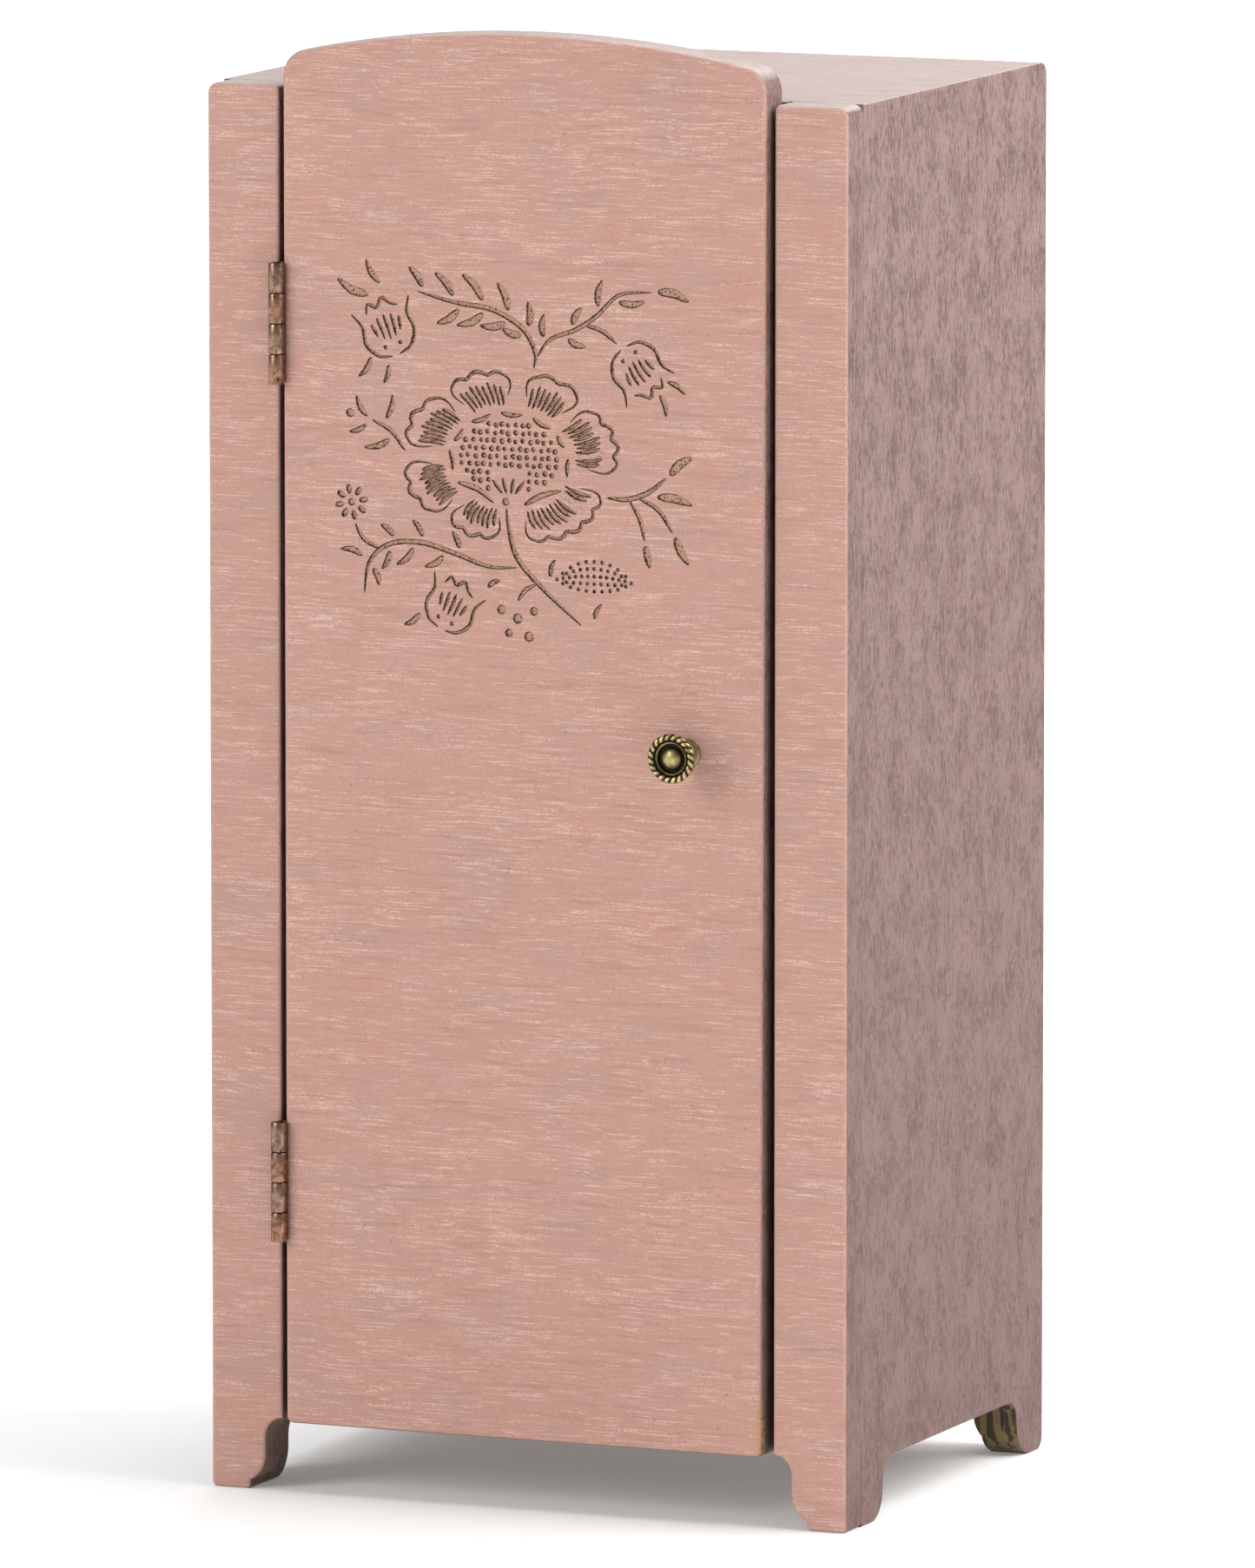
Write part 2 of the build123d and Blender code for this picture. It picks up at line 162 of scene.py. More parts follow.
def makeBrushMarks():
    # fine wavy strokes along X, gathered in patches and broken by the weave under the coat
    tree, source, sink = startGroup(
        "brushMarks",
        [("Vector", "NodeSocketVector", None), ("Coverage", "NodeSocketFloat", 0.5)],
        ["Strokes", "Furrows", "Grit", "Relief"])
    vector = source["Vector"]
    sway = noise(tree, place(tree, vector, scale=(0.07, 0.05, 0.05)), 1.0, 2.0)
    lift = addNode(tree, "ShaderNodeVectorMath", operation="SCALE")
    lift.inputs[0].default_value = (0.0, 1.3, 1.3)
    feed(tree, lift.inputs["Scale"], sway)
    moved = addNode(tree, "ShaderNodeVectorMath", operation="ADD")
    feed(tree, moved.inputs[0], vector)
    feed(tree, moved.inputs[1], lift.outputs[0])
    base = moved.outputs[0]
    fine = noise(tree, place(tree, base, scale=(0.15, 4.4, 4.4)), 1.0, 2.0, 0.6)
    broad = noise(tree, place(tree, base, scale=(0.07, 1.5, 1.5), shift=(7, 3, 5)), 1.0, 2.0, 0.6)
    grit = noise(tree, place(tree, vector, scale=(3.6, 3.6, 3.6), shift=(1, 9, 4)), 1.0, 2.0, 0.6)
    patches = noise(tree, place(tree, vector, scale=(0.06, 0.2, 0.2), shift=(2, 6, 1)), 1.0, 3.0, 0.6)
    level = calc(tree, "SUBTRACT", 0.78, calc(tree, "MULTIPLY", patches, 0.3))
    level = calc(tree, "SUBTRACT", level, calc(tree, "MULTIPLY", source["Coverage"], 0.1))
    lines = ease(tree, fine, calc(tree, "SUBTRACT", level, 0.06), calc(tree, "ADD", level, 0.1))
    strokes = calc(tree, "MULTIPLY", lines, ease(tree, grit, 0.3, 0.6))
    furrows = ease(tree, calc(tree, "SUBTRACT", 1.0, broad), 0.5, 0.72)
    relief = calc(tree, "ADD", calc(tree, "MULTIPLY", fine, 0.5), calc(tree, "MULTIPLY", broad, 0.5))
    relief = calc(tree, "ADD", relief, calc(tree, "MULTIPLY", grit, 0.2))
    for name, value in (("Strokes", strokes), ("Furrows", furrows), ("Grit", grit), ("Relief", relief)):
        feed(tree, sink[name], value)
    return tree


def makeOpenGrain():
    # short dark pores along Z, closer together in some bands, crossed by the threads of a brush
    tree, source, sink = startGroup(
        "openGrain",
        [("Vector", "NodeSocketVector", None), ("Density", "NodeSocketFloat", 0.5)],
        ["Pores", "Figure", "Weave", "Grit"])
    vector = source["Vector"]
    figure = noise(tree, place(tree, vector, scale=(0.22, 0.22, 0.03)), 1.0, 3.0, 0.55)
    fine = noise(tree, place(tree, vector, scale=(4.6, 4.6, 0.75)), 1.0, 3.0, 0.6)
    clumps = noise(tree, place(tree, vector, scale=(0.2, 0.2, 0.13), shift=(4, 4, 2)), 1.0, 4.0, 0.65)
    level = calc(tree, "SUBTRACT", 0.755, calc(tree, "MULTIPLY", clumps, 0.4))
    level = calc(tree, "SUBTRACT", level, calc(tree, "MULTIPLY", source["Density"], 0.1))
    pores = ease(tree, fine, calc(tree, "SUBTRACT", level, 0.04), calc(tree, "ADD", level, 0.1))
    threads = noise(tree, place(tree, vector, scale=(0.6, 0.6, 5.0), shift=(8, 1, 3)), 1.0, 2.0, 0.6)
    weave = calc(tree, "MULTIPLY", ease(tree, threads, 0.46, 0.68), ease(tree, clumps, 0.35, 0.62))
    grit = noise(tree, place(tree, vector, scale=(4.2, 4.2, 3.0)), 1.0, 2.0, 0.6)
    for name, value in (("Pores", pores), ("Figure", figure), ("Weave", weave), ("Grit", grit)):
        feed(tree, sink[name], value)
    return tree


def makeTonePatches():
    # soft warm and cool clouds in a thin coat, a few millimetres across
    tree, source, sink = startGroup(
        "tonePatches", [("Vector", "NodeSocketVector", None)], ["Warm", "Cool", "Value"])
    vector = source["Vector"]
    warm = noise(tree, place(tree, vector, scale=(0.10, 0.13, 0.13), shift=(11, 5, 2)), 1.0, 3.0, 0.55)
    cool = noise(tree, place(tree, vector, scale=(0.07, 0.16, 0.16), shift=(3, 13, 8)), 1.0, 3.0, 0.55)
    value = noise(tree, place(tree, vector, scale=(0.03, 0.03, 0.03), shift=(6, 2, 9)), 1.0, 2.0, 0.5)
    feed(tree, sink["Warm"], ease(tree, warm, 0.48, 0.72))
    feed(tree, sink["Cool"], ease(tree, cool, 0.48, 0.74))
    feed(tree, sink["Value"], value)
    return tree


def makeEdgeWearAndHighlight():
    # where handling has thinned the coat near the edges of a board of this middle and half size; the paler thinned band
    # is also a painted highlight along the edges
    tree, source, sink = startGroup(
        "edgeWearAndHighlight",
        [("Vector", "NodeSocketVector", None), ("Middle", "NodeSocketVector", None),
         ("Half", "NodeSocketVector", None), ("Reach", "NodeSocketFloat", 0.7)],
        ["ThinAndHighlight", "Bare", "Crack"])
    vector = source["Vector"]
    arm = addNode(tree, "ShaderNodeVectorMath", operation="SUBTRACT")
    feed(tree, arm.inputs[0], vector)
    feed(tree, arm.inputs[1], source["Middle"])
    size = addNode(tree, "ShaderNodeVectorMath", operation="ABSOLUTE")
    feed(tree, size.inputs[0], arm.outputs[0])
    left = addNode(tree, "ShaderNodeVectorMath", operation="SUBTRACT")
    feed(tree, left.inputs[0], source["Half"])
    feed(tree, left.inputs[1], size.outputs[0])
    axes = addNode(tree, "ShaderNodeSeparateXYZ")
    feed(tree, axes.inputs[0], left.outputs[0])
    a, b, c = axes.outputs
    low = calc(tree, "MINIMUM", a, b)
    high = calc(tree, "MAXIMUM", a, b)
    second = calc(tree, "MAXIMUM", low, calc(tree, "MINIMUM", high, c))
    patchy = noise(tree, place(tree, vector, scale=(0.25, 0.25, 0.25), shift=(5, 7, 1)), 1.0, 4.0, 0.65)
    small = noise(tree, place(tree, vector, scale=(1.3, 1.3, 1.3)), 1.0, 3.0, 0.6)
    near = calc(tree, "SUBTRACT", 1.0, ease(tree, second, 0.0, source["Reach"]))
    # paler band along the edges: worn coat and painted highlight
    thin = calc(tree, "MULTIPLY", near, ease(tree, patchy, 0.36, 0.6))
    bare = calc(tree, "MULTIPLY", near, ease(tree, calc(tree, "MULTIPLY", patchy, small), 0.33, 0.38))
    wide = calc(tree, "SUBTRACT", 1.0, ease(tree, second, 0.2, 1.6))
    splits = noise(tree, place(tree, vector, scale=(2.4, 2.4, 0.25), shift=(3, 3, 3)), 1.0, 2.0, 0.5)
    crack = calc(tree, "MULTIPLY", wide, ease(tree, splits, 0.66, 0.72))
    for name, value in (("ThinAndHighlight", thin), ("Bare", bare), ("Crack", crack)):
        feed(tree, sink[name], value)
    return tree


def makePatina():
    # tarnish on brass: cloudy film, dark specks and fine handling scratches
    tree, source, sink = startGroup(
        "patina", [("Vector", "NodeSocketVector", None)], ["Film", "Specks", "Scratches"])
    vector = source["Vector"]
    film = noise(tree, vector, 0.9, 4.0, 0.6)
    specks = noise(tree, place(tree, vector, scale=(1.6, 1.6, 0.8), shift=(2, 4, 9)), 1.0, 4.0, 0.7)
    scratches = noise(tree, place(tree, vector, scale=(9, 9, 1.4), turn=(0, 20, 0)), 1.0, 2.0, 0.6)
    feed(tree, sink["Film"], ease(tree, film, 0.4, 0.66))
    feed(tree, sink["Specks"], ease(tree, specks, 0.54, 0.66))
    feed(tree, sink["Scratches"], scratches)
    return tree


def makeScorch():
    # rows of tiny burns left by an engraving tool, and the flecks of bare wood between them
    tree, source, sink = startGroup(
        "scorch",
        [("Vector", "NodeSocketVector", None), ("Amount", "NodeSocketFloat", 0.5)],
        ["Char", "Fleck"])
    vector = source["Vector"]
    dots = cells(tree, place(tree, vector, scale=(2.3, 2.3, 2.3)), 1.0, 0.7)
    cloud = noise(tree, vector, 0.9, 3.0, 0.6)
    level = calc(tree, "ADD", calc(tree, "MULTIPLY", cloud, 0.5), calc(tree, "MULTIPLY", source["Amount"], 0.3))
    char = calc(tree, "SUBTRACT", 1.0, ease(tree, dots, calc(tree, "SUBTRACT", level, 0.12), level))
    fleck = ease(tree, noise(tree, vector, 3.4, 2.0, 0.6), 0.5, 0.62)
    feed(tree, sink["Char"], char)
    feed(tree, sink["Fleck"], fleck)
    return tree


brushMarks = makeBrushMarks()
openGrain = makeOpenGrain()
tonePatches = makeTonePatches()
edgeWearAndHighlight = makeEdgeWearAndHighlight()
patina = makePatina()
scorch = makeScorch()


# Finishes

# edge is the paler colour along the boards' edges: worn coat and painted highlight
frontPaint = {
    "coat": (0.490, 0.270, 0.218), "warm": (0.515, 0.258, 0.180), "cool": (0.405, 0.262, 0.228),
    "stroke": (0.720, 0.500, 0.415), "furrow": (0.340, 0.176, 0.140), "edge": (0.640, 0.420, 0.345),
    "bare": (0.47, 0.30, 0.13), "speck": (0.16, 0.08, 0.05), "roughness": 0.5, "relief": 0.00008,
}
# the sides' coat is mauve and darker than the front's, partly as painted shade of faces turned from the light
sidePaint = {
    "coat": (0.272, 0.176, 0.159), "warm": (0.276, 0.158, 0.136), "cool": (0.256, 0.180, 0.171),
    "pore": (0.078, 0.036, 0.028), "thread": (0.142, 0.080, 0.068), "edge": (0.32, 0.235, 0.21),
    "bare": (0.20, 0.135, 0.07), "shadeTowardsFloor": 0.34, "height": 215.0, "roughness": 0.55, "relief": 0.00007,
}
# the top's coat is paler than the sides' as a painted sheen of grazing light; its strokes and darker streaks are the
# brush's
topPaint = {
    "coat": (0.49, 0.385, 0.365), "stroke": (0.64, 0.55, 0.53), "grain": (0.30, 0.205, 0.18), "roughness": 0.4,
}
underPaint = {"thin": (0.20, 0.15, 0.05), "drip": (0.016, 0.014, 0.010)}
chalkyGloss = 0.3


def shade(values):
    return (*values, 1)


def facing(tree, axis, low=0.4, high=0.8):
    # how far the surface faces a way: "front", "up" or "down"
    normal = addNode(tree, "ShaderNodeTexCoord").outputs["Normal"]
    axes = addNode(tree, "ShaderNodeSeparateXYZ")
    feed(tree, axes.inputs[0], normal)
    part, sign = {"front": (1, -1), "up": (2, 1), "down": (2, -1)}[axis]
    return ease(tree, calc(tree, "MULTIPLY", axes.outputs[part], sign), low, high)


def frontTint(tree, spot, wearAndHighlight):
    marks = useGroup(tree, brushMarks, spot, Coverage=0.5)
    tone = useGroup(tree, tonePatches, spot)
    p = frontPaint
    tint = blendColour(tree, calc(tree, "MULTIPLY", tone["Warm"], 0.5), shade(p["coat"]), shade(p["warm"]))
    tint = blendColour(tree, calc(tree, "MULTIPLY", tone["Cool"], 0.5), tint, shade(p["cool"]))
    tint = blendColour(tree, calc(tree, "MULTIPLY", marks["Furrows"], 0.4), tint, shade(p["furrow"]))
    grit = ease(tree, marks["Grit"], 0.3, 0.7)
    tint = blendColour(tree, calc(tree, "MULTIPLY", grit, 0.16), tint, shade(p["stroke"]))
    tint = blendColour(tree, calc(tree, "MULTIPLY", marks["Strokes"], 0.8), tint, shade(p["stroke"]))
    specks = ease(tree, noise(tree, place(tree, spot, scale=(1.1, 1.1, 1.1), shift=(2, 2, 8)), 1.0, 1.0), 0.79, 0.83)
    tint = blendColour(tree, calc(tree, "MULTIPLY", specks, 0.6), tint, shade(p["speck"]))
    # paler edges: worn coat and painted highlight
    tint = blendColour(tree, calc(tree, "MULTIPLY", wearAndHighlight["ThinAndHighlight"], 0.55), tint, shade(p["edge"]))
    return blendColour(tree, calc(tree, "MULTIPLY", wearAndHighlight["Bare"], 0.8), tint, shade(p["bare"])), marks


def sideTint(tree, spot, upright, wearAndHighlight, cracked):
    # upright is the unturned place, for the painted shade that darkens the coat towards the floor
    grain = useGroup(tree, openGrain, spot, Density=0.5)
    tone = useGroup(tree, tonePatches, spot)
    p = sidePaint
    tint = blendColour(tree, calc(tree, "MULTIPLY", tone["Warm"], 0.6), shade(p["coat"]), shade(p["warm"]))
    tint = blendColour(tree, calc(tree, "MULTIPLY", tone["Cool"], 0.6), tint, shade(p["cool"]))
    tint = blendColour(tree, calc(tree, "MULTIPLY", grain["Weave"], 0.42), tint, shade(p["thread"]))
    tint = blendColour(tree, calc(tree, "MULTIPLY", ease(tree, grain["Grit"], 0.38, 0.66), 0.42), tint, shade(p["thread"]))
    tint = blendColour(tree, calc(tree, "MULTIPLY", grain["Pores"], 0.8), tint, shade(p["pore"]))
    # painted shade: the coat grows darker towards the bottom of the board
    axes = addNode(tree, "ShaderNodeSeparateXYZ")
    feed(tree, axes.inputs[0], upright)
    shadeTowardsFloor = calc(tree, "SUBTRACT", p["shadeTowardsFloor"], calc(tree, "MULTIPLY", ease(tree, axes.outputs[2], 0.0, p["height"]), p["shadeTowardsFloor"]))
    tint = blendColour(tree, shadeTowardsFloor, tint, shade(p["thread"]))
    # paler edges: worn coat and painted highlight
    tint = blendColour(tree, calc(tree, "MULTIPLY", wearAndHighlight["ThinAndHighlight"], 0.4), tint, shade(p["edge"]))
    if cracked:
        tint = blendColour(tree, calc(tree, "MULTIPLY", wearAndHighlight["Crack"], 0.7), tint, shade(p["pore"]))
    return blendColour(tree, calc(tree, "MULTIPLY", wearAndHighlight["Bare"], 0.7), tint, shade(p["bare"])), grain


def topTint(tree, spot):
    marks = useGroup(tree, brushMarks, place(tree, spot, shift=(30, 12, 4)), Coverage=0.8)
    p = topPaint
    tint = blendColour(tree, calc(tree, "MULTIPLY", marks["Furrows"], 0.55), shade(p["coat"]), shade(p["grain"]))
    worn = ease(tree, noise(tree, place(tree, spot, scale=(0.12, 0.5, 0.5), shift=(5, 8, 2)), 1.0, 4.0, 0.65), 0.56, 0.66)
    tint = blendColour(tree, calc(tree, "MULTIPLY", worn, 0.4), tint, shade(p["grain"]))
    return blendColour(tree, calc(tree, "MULTIPLY", marks["Strokes"], 0.7), tint, shade(p["stroke"])), marks


def stain(tree, spot, tint, height):
    # paint worn to the wood and dark runs, on what faces forward below this height
    axes = addNode(tree, "ShaderNodeSeparateXYZ")
    feed(tree, axes.inputs[0], spot)
    low = calc(tree, "SUBTRACT", 1.0, ease(tree, axes.outputs[2], height - 3.0, height))
    low = calc(tree, "MULTIPLY", low, facing(tree, "front", 0.3, 0.8))
    blotch = ease(tree, noise(tree, place(tree, spot, scale=(0.3, 0.3, 0.16), shift=(4, 1, 7)), 1.0, 3.0, 0.6), 0.36, 0.52)
    runs = ease(tree, noise(tree, place(tree, spot, scale=(0.8, 0.8, 0.05), shift=(1, 5, 2)), 1.0, 2.0), 0.5, 0.58)
    tint = blendColour(tree, calc(tree, "MULTIPLY", low, calc(tree, "MULTIPLY", blotch, 0.85)), tint, shade(underPaint["thin"]))
    return blendColour(tree, calc(tree, "MULTIPLY", low, calc(tree, "MULTIPLY", runs, 0.85)), tint, shade(underPaint["drip"]))


def makePaint(name, low, high, brushed=False, turn=(0, 0, 0), cracked=True, cornerWear=None, stained=0):
    # one board's coat: brushed pink where it faces the front, darker mauve elsewhere, partly painted shade, and pale on
    # top as a painted sheen
    material, tree, shader, spot = startMaterial(name)
    low, high = Vector(low) / mm, Vector(high) / mm
    wearAndHighlight = addNode(tree, "ShaderNodeGroup", node_tree=edgeWearAndHighlight)
    feed(tree, wearAndHighlight.inputs["Vector"], spot)
    wearAndHighlight.inputs["Middle"].default_value = (low + high) / 2
    wearAndHighlight.inputs["Half"].default_value = (high - low) / 2
    wearAndHighlight = wearAndHighlight.outputs
    side, grain = sideTint(tree, place(tree, spot, turn=turn), spot, wearAndHighlight, cracked)
    relief = calc(tree, "SUBTRACT", calc(tree, "MULTIPLY", grain["Weave"], -0.25), calc(tree, "MULTIPLY", grain["Pores"], 0.7))
    relief = calc(tree, "ADD", relief, calc(tree, "MULTIPLY", grain["Grit"], 0.25))
    # what faces up takes the pale top colour, a painted sheen
    up = facing(tree, "up")
    paleTopSheen, marks = topTint(tree, spot)
    tint = blendColour(tree, up, side, paleTopSheen)
    rough = calc(tree, "SUBTRACT", sidePaint["roughness"], calc(tree, "MULTIPLY", up, sidePaint["roughness"] - topPaint["roughness"]))
    down = facing(tree, "down", 0.2, 0.8)
    drips = ease(tree, noise(tree, place(tree, spot, scale=(0.5, 0.12, 0.3), shift=(9, 1, 6)), 1.0, 3.0), 0.44, 0.6)
    tint = blendColour(tree, calc(tree, "MULTIPLY", down, calc(tree, "MULTIPLY", drips, 0.85)), tint, shade(underPaint["thin"]))
    if stained:
        tint = stain(tree, spot, tint, stained)
    if brushed:
        lines = noise(tree, place(tree, spot, scale=(4.6, 4.6, 0.03), shift=(2, 7, 3)), 1.0, 2.0, 0.6)
        lined = calc(tree, "MULTIPLY", ease(tree, lines, 0.5, 0.68), calc(tree, "SUBTRACT", 0.6, calc(tree, "MULTIPLY", up, 0.6)))
        tint = blendColour(tree, lined, tint, shade(sidePaint["pore"]))
        front, strokes = frontTint(tree, spot, wearAndHighlight)
        ahead = facing(tree, "front", 0.25, 0.85)
        tint = blendColour(tree, ahead, tint, front)
        relief = addMixed(tree, ahead, relief, strokes["Relief"])
        if cornerWear:
            gap = addNode(tree, "ShaderNodeVectorMath", operation="DISTANCE")
            feed(tree, gap.inputs[0], place(tree, spot, scale=(1.0, 1.0, 0.28)))
            gap.inputs[1].default_value = cornerWear
            worn = calc(tree, "SUBTRACT", 1.0, ease(tree, gap.outputs["Value"], 0.3, 2.6))
            flecks = ease(tree, noise(tree, spot, 1.6, 3.0, 0.6), 0.36, 0.56)
            tint = blendColour(tree, calc(tree, "MULTIPLY", calc(tree, "MULTIPLY", worn, flecks), 0.75), tint, shade(frontPaint["bare"]))
    feed(tree, shader.inputs["Base Color"], tint)
    feed(tree, shader.inputs["Roughness"], rough)
    shader.inputs["Specular IOR Level"].default_value = chalkyGloss
    addBump(tree, shader, relief, 0.45, frontPaint["relief"])
    return material


def addMixed(tree, amount, a, b):
    node = addNode(tree, "ShaderNodeMix", data_type="FLOAT")
    feed(tree, node.inputs[0], amount)
    feed(tree, node.inputs[2], a)
    feed(tree, node.inputs[3], b)
    return node.outputs[0]


def makeScorched(name, base, tan, char, amount, fleck):
    # base wood or paint left in a cut, flecked with tan and dotted with burns
    material, tree, shader, spot = startMaterial(name)
    burn = useGroup(tree, scorch, spot, Amount=amount)
    tint = blendColour(tree, calc(tree, "MULTIPLY", burn["Fleck"], fleck), shade(base), shade(tan))
    tint = blendColour(tree, burn["Char"], tint, shade(char))
    feed(tree, shader.inputs["Base Color"], tint)
    shader.inputs["Roughness"].default_value = 0.75
    addBump(tree, shader, burn["Char"], 0.5, -0.00008)
    return material


def makeBrass(name, bright, dull, dark, darkness, roughness):
    # the piece's own mask darkens it deep in the dish, between strands, on the rope's inner side, towards the button's
    # edge and behind the head: partly tarnish in the hollows, partly painted shade
    material, tree, shader, spot = startMaterial(name)
    wear = useGroup(tree, patina, spot)
    mask = addNode(tree, "ShaderNodeAttribute", attribute_name="tarnishAndShade").outputs["Fac"]
    tint = blendColour(tree, calc(tree, "MULTIPLY", wear["Film"], darkness), shade(bright), shade(dull))
    tint = blendColour(tree, calc(tree, "MULTIPLY", wear["Specks"], 0.75), tint, shade(dark))
    tint = blendColour(tree, calc(tree, "MULTIPLY", mask, 0.97), tint, shade(dark))
    feed(tree, shader.inputs["Base Color"], tint)
    shader.inputs["Metallic"].default_value = 1.0
    rough = calc(tree, "ADD", roughness, calc(tree, "MULTIPLY", wear["Film"], 0.2))
    feed(tree, shader.inputs["Roughness"], calc(tree, "ADD", rough, calc(tree, "MULTIPLY", mask, 0.3)))
    addBump(tree, shader, wear["Scratches"], 0.2, 0.00003)
    return material


def makeBareWood(name, turn=(0, 90, 0)):
    material, tree, shader, spot = startMaterial(name)
    grain = useGroup(tree, openGrain, place(tree, spot, turn=turn), Density=0.3)
    tint = blendColour(tree, grain["Figure"], (0.58, 0.37, 0.19, 1), (0.45, 0.25, 0.105, 1))
    tint = blendColour(tree, calc(tree, "MULTIPLY", grain["Pores"], 0.6), tint, (0.21, 0.10, 0.04, 1))
    feed(tree, shader.inputs["Base Color"], tint)
    shader.inputs["Roughness"].default_value = 0.6
    addBump(tree, shader, grain["Pores"], 0.3, -0.00004)
    return material


def makeSteel(name):
    material, tree, shader, spot = startMaterial(name)
    wear = useGroup(tree, patina, spot)
    tint = blendColour(tree, wear["Film"], (0.56, 0.56, 0.57, 1), (0.34, 0.33, 0.32, 1))
    feed(tree, shader.inputs["Base Color"], tint)
    shader.inputs["Metallic"].default_value = 1.0
    feed(tree, shader.inputs["Roughness"], calc(tree, "ADD", 0.25, calc(tree, "MULTIPLY", wear["Scratches"], 0.2)))
    return material


scorchedWall = makeScorched("scorchedWall", (0.15, 0.075, 0.045), (0.42, 0.26, 0.11), (0.022, 0.011, 0.007), 1.0, 0.6)
scorchedFloor = makeScorched("scorchedFloor", (0.43, 0.235, 0.18), (0.60, 0.43, 0.20), (0.085, 0.042, 0.026), 0.32, 0.75)
paintedLip = makeScorched("paintedLip", (0.52, 0.31, 0.25), (0.60, 0.40, 0.32), (0.16, 0.08, 0.05), 0.15, 0.5)
antiqueBrass = makeBrass("antiqueBrass", (0.76, 0.60, 0.30), (0.30, 0.23, 0.09), (0.012, 0.009, 0.006), 0.7, 0.24)
bronzedFrame = makeBrass("bronzedFrameLeaf", (0.35, 0.215, 0.155), (0.12, 0.085, 0.066), (0.02, 0.013, 0.009), 0.85, 0.27)
bronzedDoor = makeBrass("bronzedDoorLeaf", (0.38, 0.20, 0.135), (0.13, 0.075, 0.052), (0.02, 0.012, 0.008), 0.8, 0.27)
bareWood = makeBareWood("bareHardwood")
platedSteel = makeSteel("platedSteel")
print("shared finishes made")


# Mesh helpers. A pen draws an outline as a chain of vertices in one plane.

def penStart(bm, spot):
    return bmesh.ops.create_vert(bm, co=spot)["vert"][0]


def penTo(bm, vert, spot):
    made = bmesh.ops.extrude_vert_indiv(bm, verts=[vert])["verts"][0]
    made.co = spot
    return made


def penArc(bm, vert, centre, axis, degrees, steps):
    made = bmesh.ops.spin(bm, geom=[vert], cent=centre, axis=axis, angle=math.radians(degrees), steps=steps)
    return [g for g in made["geom_last"] if isinstance(g, bmesh.types.BMVert)][0]


def closeOutline(bm):
    bmesh.ops.remove_doubles(bm, verts=bm.verts[:], dist=0.002 * mm)
    bmesh.ops.contextual_create(bm, geom=bm.edges[:])
    return bm.faces[:]


def raiseFaces(bm, faces, move, dropBase=False):
    # pulls faces out into a solid and returns the ones that moved
    made = bmesh.ops.extrude_face_region(bm, geom=faces)["geom"]
    if dropBase:
        bmesh.ops.delete(bm, geom=faces, context="FACES_ONLY")
    verts = [g for g in made if isinstance(g, bmesh.types.BMVert)]
    bmesh.ops.translate(bm, verts=verts, vec=move)
    return [g for g in made if isinstance(g, bmesh.types.BMFace)]


def roundEdges(bm, edges, radius, segments):
    bmesh.ops.bevel(bm, geom=edges, offset=radius, offset_type="OFFSET", segments=segments,
                    profile=0.5, affect="EDGES", material=-1, clamp_overlap=True)


def finishPiece(bm, name, body, nodes, materials, smoothBelow=0.00002, keepNormals=False):
    # smoothBelow: faces larger than this many square metres stay flat
    if not keepNormals:
        bmesh.ops.recalc_face_normals(bm, faces=bm.faces[:])
    for face in bm.faces:
        face.smooth = face.calc_area() < smoothBelow
    mesh = bpy.data.meshes.new(name)
    bm.to_mesh(mesh)
    bm.free()
    for material in materials:
        mesh.materials.append(material)
    mesh.set_sharp_from_angle(angle=math.radians(34))
    piece = bpy.data.objects.new(name, mesh)
    bpy.context.scene.collection.objects.link(piece)
    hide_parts(*nodes)
    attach(piece, body)
    return piece


# The door: an arched slab with a sprig of flowers cut into its face

door = {
    "left": -38.3, "rightLow": 38.1, "rightHigh": 38.8, "low": 10.6, "arcEnds": 214.8, "rise": 4.2,
    "front": -36.85, "back": -30.65, "corner": 4.0, "faceRound": 1.0, "backRound": 0.4,
    "screwAt": (26.25, 114.4), "screwRecess": (1.5, 0.9), "strikeAt": (28.0, 207.0), "strikeRecess": (2.0, 0.8),
}


def doorSlab(bm):
    left, low, y = door["left"] * mm, door["low"] * mm, door["front"] * mm
    rightLow, rightHigh = door["rightLow"] * mm, door["rightHigh"] * mm
    top, r, small = (door["arcEnds"] + door["rise"]) * mm, door["corner"] * mm, door["faceRound"] * mm
    half = (rightHigh - left) / 2
    rise = door["rise"] * mm
    arcRadius = (half ** 2 + rise ** 2) / (2 * rise)
    middle = (left + rightHigh) / 2
    hub = Vector((middle, y, top - arcRadius))
    across = half - r
    cornerZ = hub.z + math.sqrt((arcRadius - r) ** 2 - across ** 2)
    tilt = math.degrees(math.asin(across / (arcRadius - r)))
    vert = penStart(bm, (left + small, y, low))
    vert = penTo(bm, vert, (rightLow - small, y, low))
    vert = penArc(bm, vert, (rightLow - small, y, low + small), (0, -1, 0), 90, 4)
    vert = penTo(bm, vert, (rightHigh, y, cornerZ))
    vert = penArc(bm, vert, (rightHigh - r, y, cornerZ), (0, -1, 0), 90 - tilt, 8)
    vert = penArc(bm, vert, hub, (0, -1, 0), 2 * tilt, 48)
    vert = penArc(bm, vert, (left + r, y, cornerZ), (0, -1, 0), 90 - tilt, 8)
    vert = penTo(bm, vert, (left, y, low + small))
    penArc(bm, vert, (left + small, y, low + small), (0, -1, 0), 90, 4)
    slab = raiseFaces(bm, closeOutline(bm), (0, (door["back"] - door["front"]) * mm, 0))
    backEdges = list({e for f in slab for e in f.edges})
    frontEdges = [e for e in bm.edges if all(abs(v.co.y - y) < 1e-7 for v in e.verts)]
    roundEdges(bm, frontEdges, door["faceRound"] * mm, 6)
    roundEdges(bm, backEdges, door["backRound"] * mm, 3)


